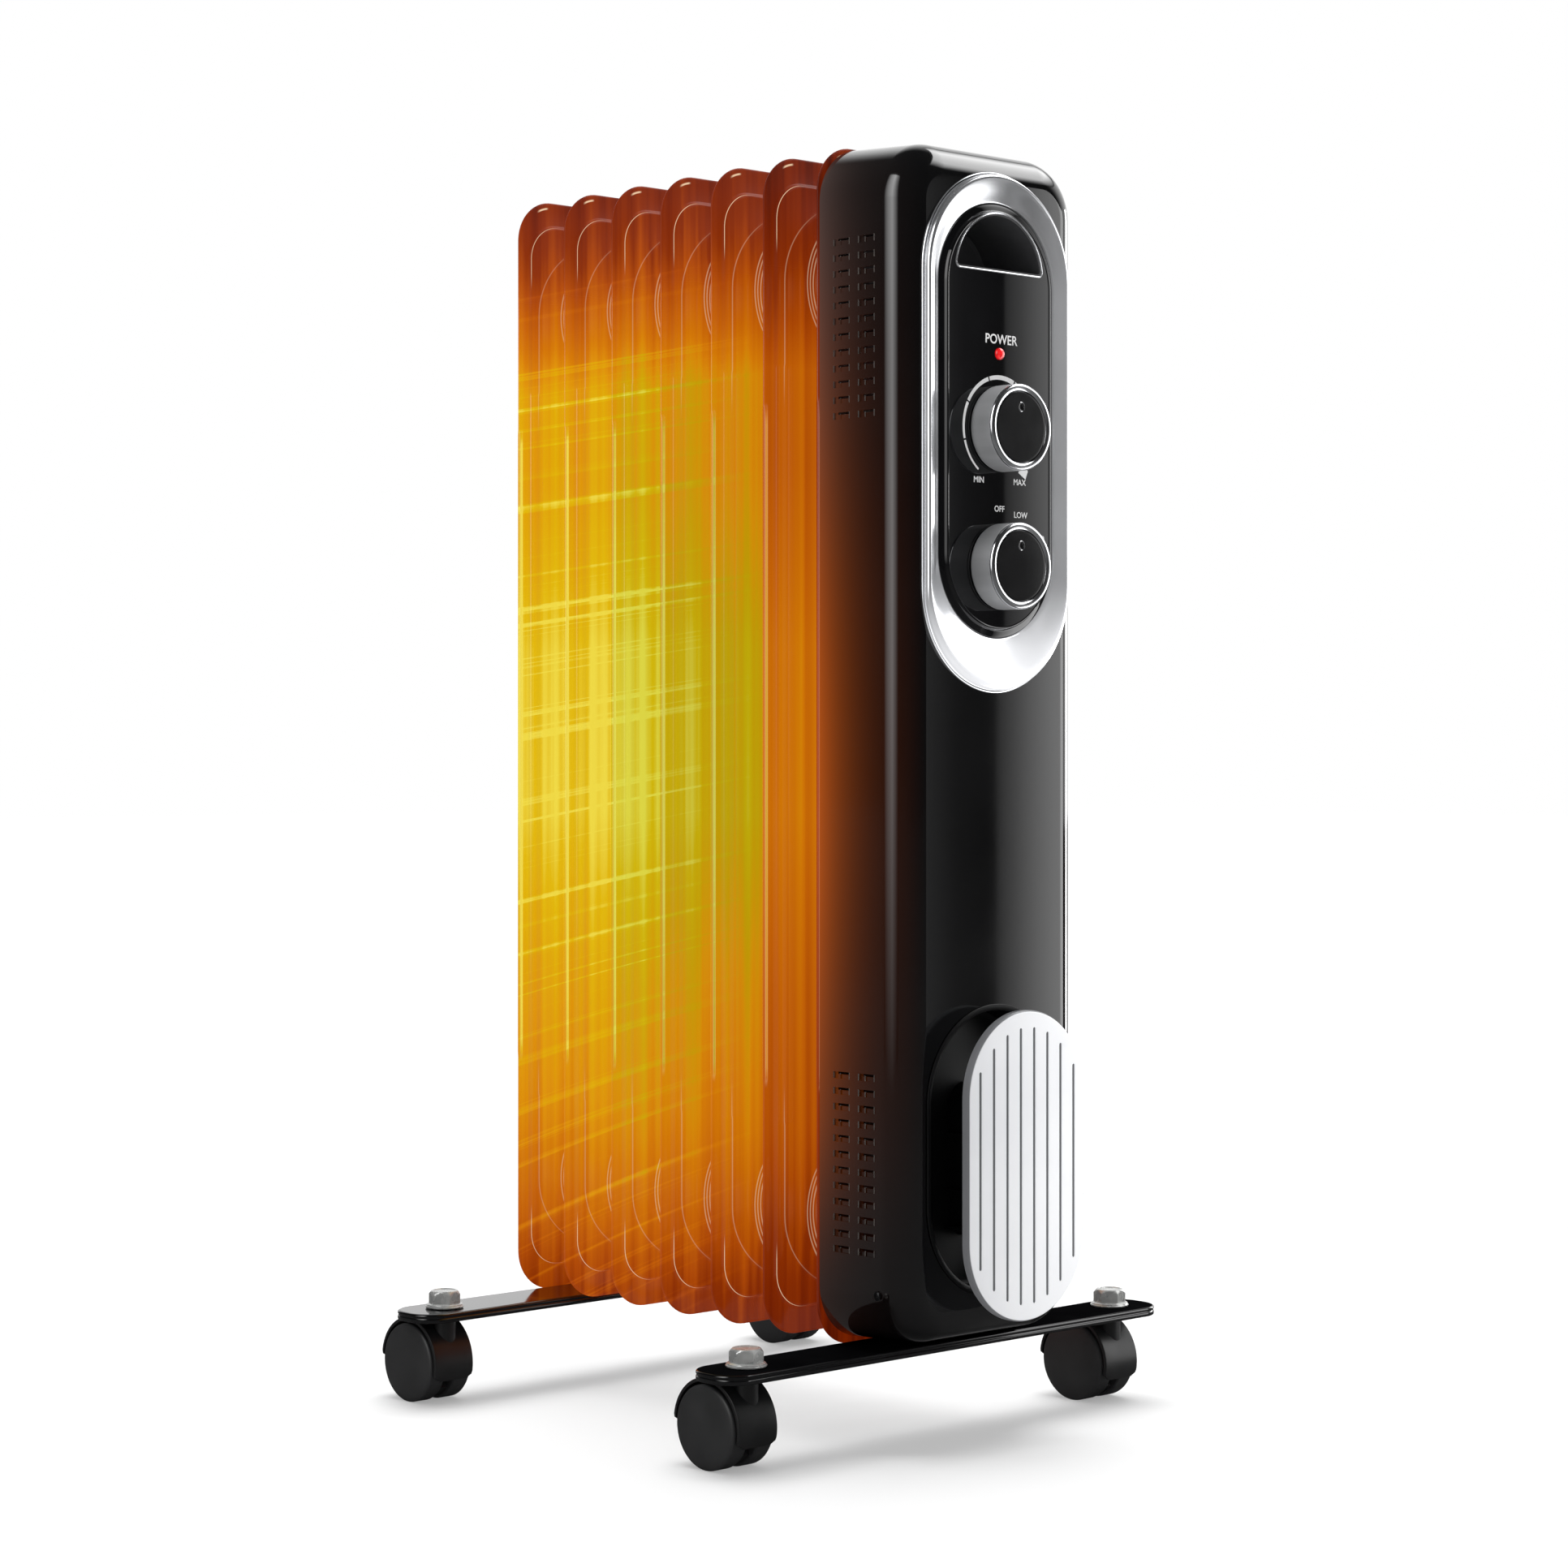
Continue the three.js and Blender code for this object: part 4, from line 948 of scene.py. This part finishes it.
def build_panel(polished):
    gloss = finish("panel_gloss_black", "08080a", "0d0d0f", (0.03, 0.05), coat=0.3, grain=(60, 0.008, 0.0003),
                   coat_rough=0.02)
    profile = [(39.5, RING_BASE), (39.5, -141.7), (39.2, -142.1), (38.0, -142.45), (36.6, -142.7),
               (36.2, -142.85), (35.9, -143.3), (35.6, -144.0), (35.3, -144.35), (34.9, -144.45),
               (34.6, -144.33), (34.3, -144.3)]
    rings = [at_y(oval(hw, 386.4 + (39.5 - hw), 593.5 - (39.5 - hw), 64), y) for hw, y in profile]

    def holes(piece):
        cuts = [loft([at_y(handle_outline(0.3), y) for y in (-150, -136)])]
        for z, radius in ((LAMP_Z, 3.1), (DIALS_Z["thermostat"], 3.8), (DIALS_Z["mode"], 3.8)):
            cuts.append(turned(at_y, (0, z), [(-150, radius), (-136, radius)], 40))
        cut(piece, *cuts)
    add_piece("panel_face", loft(rings), gloss, ["control_panel"], 30, holes)

    rim = at_y(handle_outline(0), PANEL_FACE_Y - 0.05)
    add_piece("handle_rim", tube(rim, 0.42, 10, True), polished)

    back = box_of("handle_cup")[1][1]
    plastic = finish("handle_cup_plastic", "39393b", "48484a", (0.28, 0.36), grain=(700, 0.08, 0.0001))
    rings = [at_y(handle_outline(grow), y)
             for grow, y in ((0, -144.1), (0, back), (-3.0, back - 1.5), (-1.5, back - 3), (-1.2, -144.1))]
    add_piece("handle_hollow", cup(rings[:2], rings[2:]), plastic, ["handle_cup"], 30)

    base = PANEL_FACE_Y - 0.2
    dome = [(-134, 2.8), (base, 2.8)]
    dome += [(base - 1.8 * math.sin(a), 2.8 * math.cos(a)) for a in (0.2, 0.45, 0.7, 0.95, 1.2, 1.4)]
    add_piece("lamp_dome", turned(at_y, (0, LAMP_Z), dome, 40), lamp_red(), ["lamp_lens"], 60)


def add_label(name, text, x, z, height, material, bold):
    curve = bpy.data.curves.new(name, "FONT")
    curve.body = text
    curve.align_x = "CENTER"
    curve.align_y = "CENTER"
    curve.size = height / 0.72 * MM
    curve.offset = bold * MM
    curve.extrude = 0.03 * MM
    curve.resolution_u = 4
    source = bpy.data.objects.new(name + "_curve", curve)
    bpy.context.collection.objects.link(source)
    graph = bpy.context.evaluated_depsgraph_get()
    mesh = bpy.data.meshes.new_from_object(source.evaluated_get(graph))
    bpy.data.objects.remove(source)
    for vertex in mesh.vertices:
        across, up, out = vertex.co
        vertex.co = (across + x * MM, (PANEL_FACE_Y - 0.02) * MM - out, up + z * MM)
    mesh.materials.clear()
    mesh.materials.append(material)
    label = bpy.data.objects.new(name, mesh)
    bpy.context.collection.objects.link(label)
    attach(label, "heater")


def build_markings():
    ink = finish("marking_white", "e6e6e6", "f4f4f4", (0.4, 0.5), grain=(1500, 0.05, 0.0001))
    add_label("label_power", "POWER", 1.2, 528.6, 4.6, ink, 0.09)
    for name, text, x, z in (("min", "MIN", -14.2, 461.1), ("max", "MAX", 14.0, 461.1),
                             ("off", "OFF", 0, 447.8), ("low", "LOW", 14.7, 445.4),
                             ("med", "MED", 27.5, 434.7), ("high", "HIGH", 29.2, 420.2)):
        add_label(f"label_{name}", text, x, z, 2.9 if name != "high" else 2.4, ink, 0.06)

    front, back = PANEL_FACE_Y - 0.05, PANEL_FACE_Y - 0.01

    def scale_point(degrees, radius, y):
        angle = math.radians(degrees)
        return (radius * math.sin(angle), y, DIALS_Z["thermostat"] + radius * math.cos(angle))

    parts = []
    spans = ((-144, -105.5), (-103.5, -62), (-60, -18), (-16, 23.5), (25.5, 66), (68, 109), (111, 137))
    for start, stop in spans:
        rings = []
        for i in range(13):
            degrees = start + (stop - start) * i / 12
            thick = 1.0 + 2.2 * (degrees + 144) / 288
            inner, outer = 24.6 - thick / 2, 24.6 + thick / 2
            rings.append([scale_point(degrees, radius, y)
                          for radius, y in ((inner, front), (outer, front), (outer, back), (inner, back))])
        parts.append(loft(rings))
    tip = [[scale_point(d, r, y) for d, r in ((133, 22.6), (134, 27.6), (142, 29.4), (147, 24.0))]
           for y in (front, back)]
    parts.append(loft(tip))
    add_piece("thermostat_scale", join(*parts), ink)


def build_knobs():
    silver = finish("knob_satin_silver", "a4a5a7", "b7b8ba", (0.33, 0.42), metal=0.35, scale=80,
                    grain=(1200, 0.06, 0.0001), stretch=(1, 0.1, 1))
    bright = chrome("knob_bevel_bright", (0.10, 0.16))
    black = finish("knob_insert_black", "101011", "161617", (0.10, 0.16), grain=(300, 0.02, 0.0002))
    for name, z in DIALS_Z.items():
        body = f"{name}_dial"
        skirt = [(-144.65, 3.4), (-144.65, 19.7), (-144.9, 20.1), (-145.6, 20.2), (-145.9, 20.55),
                 (-146.3, 20.6), (-156.9, 20.6), (-157.1, 20.35), (-157.1, 3.4)]
        add_piece(f"{name}_skirt", turned(at_y, (0, z), skirt, 96, True), silver,
                  [f"{name}_knob"], 35, body=body)
        rim = [(-157.2, 20.2), (-157.4, 20.55), (-158.0, 20.6), (-158.7, 20.35), (-159.15, 19.8),
               (-159.3, 19.1), (-159.25, 18.3), (-158.9, 17.5), (-158.4, 17.05), (-157.2, 17.0)]
        add_piece(f"{name}_rim", turned(at_y, (0, z), rim, 96, True), bright, (), 60, body=body)
        face = [(-157.3, 16.85), (-158.4, 16.85), (-158.65, 16.6), (-158.72, 15.5)]

        def dimple(piece, z=z):
            cup = [(-160, 2.0), (-158.72, 1.98), (-158.2, 1.75), (-157.85, 1.2), (-157.75, 0.4)]
            cut(piece, turned(at_y, (0, z + 9.6), cup, 32))
        add_piece(f"{name}_insert", turned(at_y, (0, z), face, 96), black,
                  [f"{name}_knob_face"], 30, dimple, body)
        mark = [(-158.1, 1.62), (-158.25, 1.85), (-158.74, 2.0), (-158.85, 2.15), (-158.74, 2.3),
                (-158.6, 2.2)]
        add_piece(f"{name}_dimple_edge", turned(at_y, (0, z + 9.6), mark, 32, True), bright,
                  (), 60, body=body)


# ---- Cord storage ----

def build_cord_storage():
    plastic = finish("recess_plastic", "0a0a0b", "111112", (0.42, 0.52), level=0.25,
                     grain=(700, 0.08, 0.0001))
    hw, low, high = RECESS

    profile = [(1.4, -141.3), (1.4, -141.6), (1.2, -141.85), (0.7, -141.95), (0.0, -141.9), (-0.9, -141.6),
               (-1.6, -141.0), (-1.65, -123.5), (-2.1, -122.0), (-3.2, -121.2), (-4.6, -121.0)]
    outer = [(-4.6, -119.4), (0.0, -119.4), (0.0, -141.2)]
    rings = [at_y(oval(hw + grow, low - grow, high + grow, 48), y) for grow, y in profile + outer]
    add_piece("recess_bowl", cup(rings[:len(profile)], rings[len(profile):]), plastic,
              ["cord_recess"], 32)

    column = [at_y(oval(11.5, 99, 173, 24), y) for y in (-157.6, -121.3)]
    ledges = []
    for z in (104.0, 121.8, 148.7):
        ledges.append(loft([at_y([(-w, z - h), (w, z - h), (w, z + h), (-w, z + h)], y)
                            for w, h, y in ((14.0, 0.6, -150), (14.5, 0.8, -149.4), (14.5, 0.8, -121.35))]))
    add_piece("winder_column", join(loft(column), *ledges), plastic, ["winder_post"], 32)

    satin = plate_satin()
    front, back = -162.75, -157.95
    profile = [(-1.2, back), (-0.5, back), (0.0, back - 0.4), (0.0, front + 1.5), (-0.25, front + 1.2),
               (-0.3, front + 0.7), (-0.7, front + 0.25), (-1.3, front)]
    rings = [at_y(oval(40 + g, 62.4 - g, 209.6 + g, 64), y) for g, y in profile]

    def grooves(piece):
        slots = []
        for i in range(8):
            x = (i - 3.5) * 9.2
            half = 33.6 + math.sqrt(40 ** 2 - x ** 2) - 7.8 - 0.003 * x ** 2
            steps = [(1.0, front - 0.5), (0.95, front + 0.05), (0.75, front + 0.5), (0.45, front + 0.85)]
            outlines = [(oval(w, 136 - half, 136 + half, 8), y) for w, y in steps]
            slots.append(loft([[(a + x, y, b) for a, b in outline] for outline, y in outlines]))
        cut(piece, *slots)
    add_piece("winder_front", loft(rings), satin, ["winder_plate"], 25, grooves)


# ---- Foot bars, bolts and casters ----

BOLT_X = 125.7
CLAMP_X = 20.4


def build_bars():
    paint = bar_paint()
    profile = [(1.6, 48.5), (0.8, 48.42), (0.3, 48.15), (0.05, 47.75), (0.0, 47.3), (0.05, 46.95),
               (0.35, 46.65), (0.45, 46.3), (0.35, 45.95), (0.05, 45.65), (0.0, 45.2), (0.0, 44.4),
               (0.15, 44.0), (0.5, 43.75), (1.0, 43.7), (1.6, 43.8), (1.8, 44.2), (1.8, 46.7)]
    for end in ENDS:
        y = middle_of(f"foot_bar_{end}")[1]
        rings = []
        for inset, z in profile:
            outline = rounded_rectangle(150 - inset, y - 16.5 + inset, y + 16.5 - inset, 14 - inset, 12)
            rings.append(at_z(outline, z))

        def holes(piece, y=y):
            cut(piece, *(turned(at_z, (side * x, y), [(40, radius), (52, radius)], 24)
                         for x, radius in ((BOLT_X, 4.2), (CLAMP_X, 3.0)) for side in SIDES))
        add_piece(f"bar_{end}", loft(rings), paint, [f"foot_bar_{end}"], 32, holes)


def hex_point(degrees, size):
    """Distance to a hexagon's side in one direction."""
    return size * math.cos(math.radians(30)) / math.cos(math.radians((degrees % 60) - 30))


def build_bolts():
    zinc = finish("bolt_zinc_plate", "a4a5a4", "c4c5c3", (0.22, 0.34), metal=0.42, scale=160,
                  grain=(500, 0.05, 0.0001))
    flange = [(48.8, 6), (48.8, 9.3), (49.1, 9.7), (49.6, 9.7), (49.95, 9.35), (50.05, 9.2), (50.2, 9.3),
              (50.5, 9.1), (50.9, 8.4), (51.05, 7.4), (51.1, 5.0)]
    # the head: heights, and the cone that trims the hexagon there
    head = ((50.6, 9.9), (54.9, 9.9), (55.6, 8.3), (56.2, 7.6), (56.8, 7.1), (57.25, 6.75), (57.4, 6.4),
            (57.4, 5.7), (57.1, 5.4), (57.05, 5.0))
    for end, hand, corner in corners():
        x, y = middle_of(f"caster_bolt_{corner}")
        rings = []
        for z, cone in head:
            reach = [(min(hex_point(d, 8.1), cone), math.radians(d + 12)) for d in range(0, 360, 5)]
            rings.append([(x + r * math.cos(a), y + r * math.sin(a), z) for r, a in reach])
        stem = turned(at_z, (x, y), ((40.4, 3.3), (41, 3.8), (49.2, 3.8)), 24)
        add_piece(f"hex_bolt_{corner}", join(turned(at_z, (x, y), flange), loft(rings), stem), zinc,
                  [f"caster_bolt_{corner}"], 24)
    steel = finish("clamp_zinc", "8c8d8c", "a9aaa8", (0.3, 0.42), metal=1.0, scale=120)
    for end in ENDS:
        y = middle_of(f"header_clamp_{end}")[1]
        path = [(-CLAMP_X, y, 41.5 + 8 * i) for i in range(9)]
        path += at_y(arc((0, HEADERS_Z[0]), CLAMP_X, 180, 0, 24), y)
        path += [(CLAMP_X, y, 105.5 - 8 * i) for i in range(9)]
        add_piece(f"u_bolt_{end}", tube(path, 2.5, 20), steel, [f"header_clamp_{end}"], 50)


AXLE_Y = 14.5
WHEEL = 20.0      # the wheels' radius, and so the axle's height
ROUND_TIP = 9.0   # degrees over which the fender narrows at each tip


def hood_section(y, angle, outer, inner, half):
    """One slice across the fender at an angle from straight up, front negative."""
    s, c = math.sin(math.radians(angle)), math.cos(math.radians(angle))
    soft = 0.55
    edge = [(half, inner), (half, outer - soft), (half - soft * 0.4, outer - soft * 0.3),
            (half - soft, outer), (half * 0.5, outer + 0.05)]
    shape = [(-across, radius) for across, radius in edge] + [(0, outer + 0.08)] + edge[::-1]
    shape += [(half * 0.5, inner), (0, inner), (-half * 0.5, inner)]
    return [(across, y + s * radius, WHEEL + c * radius) for across, radius in shape]


def build_casters():
    plastic = finish("caster_satin_black", "131314", "1b1b1c", (0.34, 0.42), grain=(1500, 0.10, 0.0001),
                     scale=60)
    wheel_plastic = finish("wheel_satin_black", "232324", "2b2b2c", (0.40, 0.48), grain=(1500, 0.10, 0.0001),
                           scale=60)
    boss_steps = ((46.3, 5.3), (46.0, 5.6), (40, 5.6), (34, 5.6), (30, 5.55), (27, 5.3), (24.5, 4.6))
    front, rear = -109, 90
    for end, hand, corner in corners():
        x, stem_y = middle_of(f"caster_bolt_{corner}")
        y = stem_y + AXLE_Y
        wheel_low, wheel_high = box_of(f"wheel_{corner}_b")
        inner_x, crown_x = wheel_low[0] - x, wheel_high[0] - x

        rings = []
        for i in range(45):
            angle = front + (rear - front) * i / 44
            half = 12.0
            for tip in (angle - front, rear - angle):
                if tip < ROUND_TIP:
                    half -= 3.2 * (1 - math.sqrt(max(1 - (1 - tip / ROUND_TIP) ** 2, 0)))
            rings.append([(x + a, b, c) for a, b, c in hood_section(y, angle, 23.0, 21.3, half)])
        web = inner_x - 0.5
        outline = []
        for degrees in range(-180, 180, 6):
            radius = 21.6 if front + 3 <= degrees <= rear - 3 else 18.4
            if -128 <= degrees <= -112:
                radius = 14.5
            angle = math.radians(degrees)
            outline.append((y + math.sin(angle) * radius, WHEEL + math.cos(angle) * radius))
        add_piece(f"hood_{corner}", join(loft(rings), loft([at_x(outline, x - web), at_x(outline, x + web)])),
                  plastic, [f"caster_hood_{corner}"], body=f"caster_{corner}")
        boss = [at_z(circle((x, stem_y), radius, 32), z) for z, radius in boss_steps]
        boss[-1] = [(a, b + 1.5, c) for a, b, c in boss[-1]]
        add_piece(f"stem_boss_{corner}", loft(boss), plastic, (), 40, body=f"caster_{corner}")

        dome = [(inner_x, 2.4), (inner_x, 18.9), (inner_x + 0.4, 19.6), (inner_x + 1.0, 20.0),
                (11.7, 20.0), (12.1, 19.9), (12.5, 19.6), (12.85, 19.1), (13.15, 18.3), (13.5, 16.6),
                (13.8, 14.6), (14.1, 12.0), (14.35, 9.0), (14.55, 6.0), (14.67, 3.0), (crown_x, 1.0)]
        for side, letter in zip(SIDES, "ab"):
            wheel = turned(at_x, (y, WHEEL), [(x + side * off, radius) for off, radius in dome], 72)
            add_piece(f"wheel_dome_{corner}_{letter}", wheel, wheel_plastic,
                      [f"wheel_{corner}_{letter}"], 50, body=f"wheel_body_{corner}_{letter}")


# ---- CAD pieces that keep their shape ----

def finish_kept_nodes():
    """Real colours for the hidden pieces, whose CAD shapes stay as they are."""
    steel = finish("inner_steel_plain", "7f8183", "999b9d", (0.35, 0.5), metal=1.0, scale=90)
    shield = finish("heat_shield_galvanised", "8b8d8e", "a8abad", (0.35, 0.55), metal=1.0, scale=55,
                    grain=(200, 0.05, 0.0003))
    cream = finish("inner_plastic_cream", "cfc9ba", "dfdacd", (0.5, 0.62), grain=(800, 0.1, 0.0001))
    black = finish("gland_plastic", "0f0f10", "171718", (0.4, 0.5), grain=(700, 0.1, 0.0001))
    looks = {"heat_shield": shield, "cord_gland": black}
    for node in ("heating_element", "thermostat_shaft", "mode_shaft", "thermal_cutoff"):
        looks[node] = steel
    for node in ("thermostat_body", "mode_switch_body", "terminal_block", "tip_over_switch"):
        looks[node] = cream
    for end, hand, corner in corners():
        looks[f"clamp_nut_{corner}"] = steel
        looks[f"caster_axle_{corner}"] = steel
    for node, material in looks.items():
        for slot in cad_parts[node].material_slots:
            slot.material = material


# ---- The whole scene ----

add_camera()
add_world()
add_floor()
bpy.context.scene.view_settings.view_transform = "Standard"
area_light("overhead", (0.25, 0.15, 2.3), (-0.1, -0.08, -1), (1.8, 1.8), 60)
glow_card("front_card", (0.3158, -0.3622, 0.285), (-0.726, 0.688, 0), (0.21, 0.77),
          [(0, 0.3), (0.12, 0.08), (0.237, 0.03), (0.2385, 0.30), (0.286, 0.65), (0.40, 1.9), (0.60, 3.2),
           (1, 3.4)],
          [(0, 0.5), (0.3, 1), (1, 1)])
glow_card("left_card", (-1.9, -0.10, 1.2), (1, 0, 0), (1.9, 3.0),
          [(0, 0), (0.35, 2.2), (0.6, 3.4), (0.78, 1.6), (1, 0)],
          [(0, 0), (0.10, 0.05), (0.24, 0.6), (0.34, 0.85), (0.42, 1.4), (1, 1.6)])
glow_card("rim_card", (1.80, -0.03, 0.35), (-1, 0, 0), (0.45, 1.3),
          [(0, 8), (1, 8)], [(0, 1), (1, 1)])
glow_card("top_card", (1.25, -0.55, 1.7), (-0.70, 0, -0.71), (2.0, 1.0),
          [(0, 0), (0.30, 5), (0.75, 5), (1, 0)], [(0, 0), (0.3, 1), (1, 1)])

build_fins()
build_cover()
build_panel(build_ring())
build_markings()
build_knobs()
build_cord_storage()
build_bars()
build_bolts()
build_casters()
finish_kept_nodes()
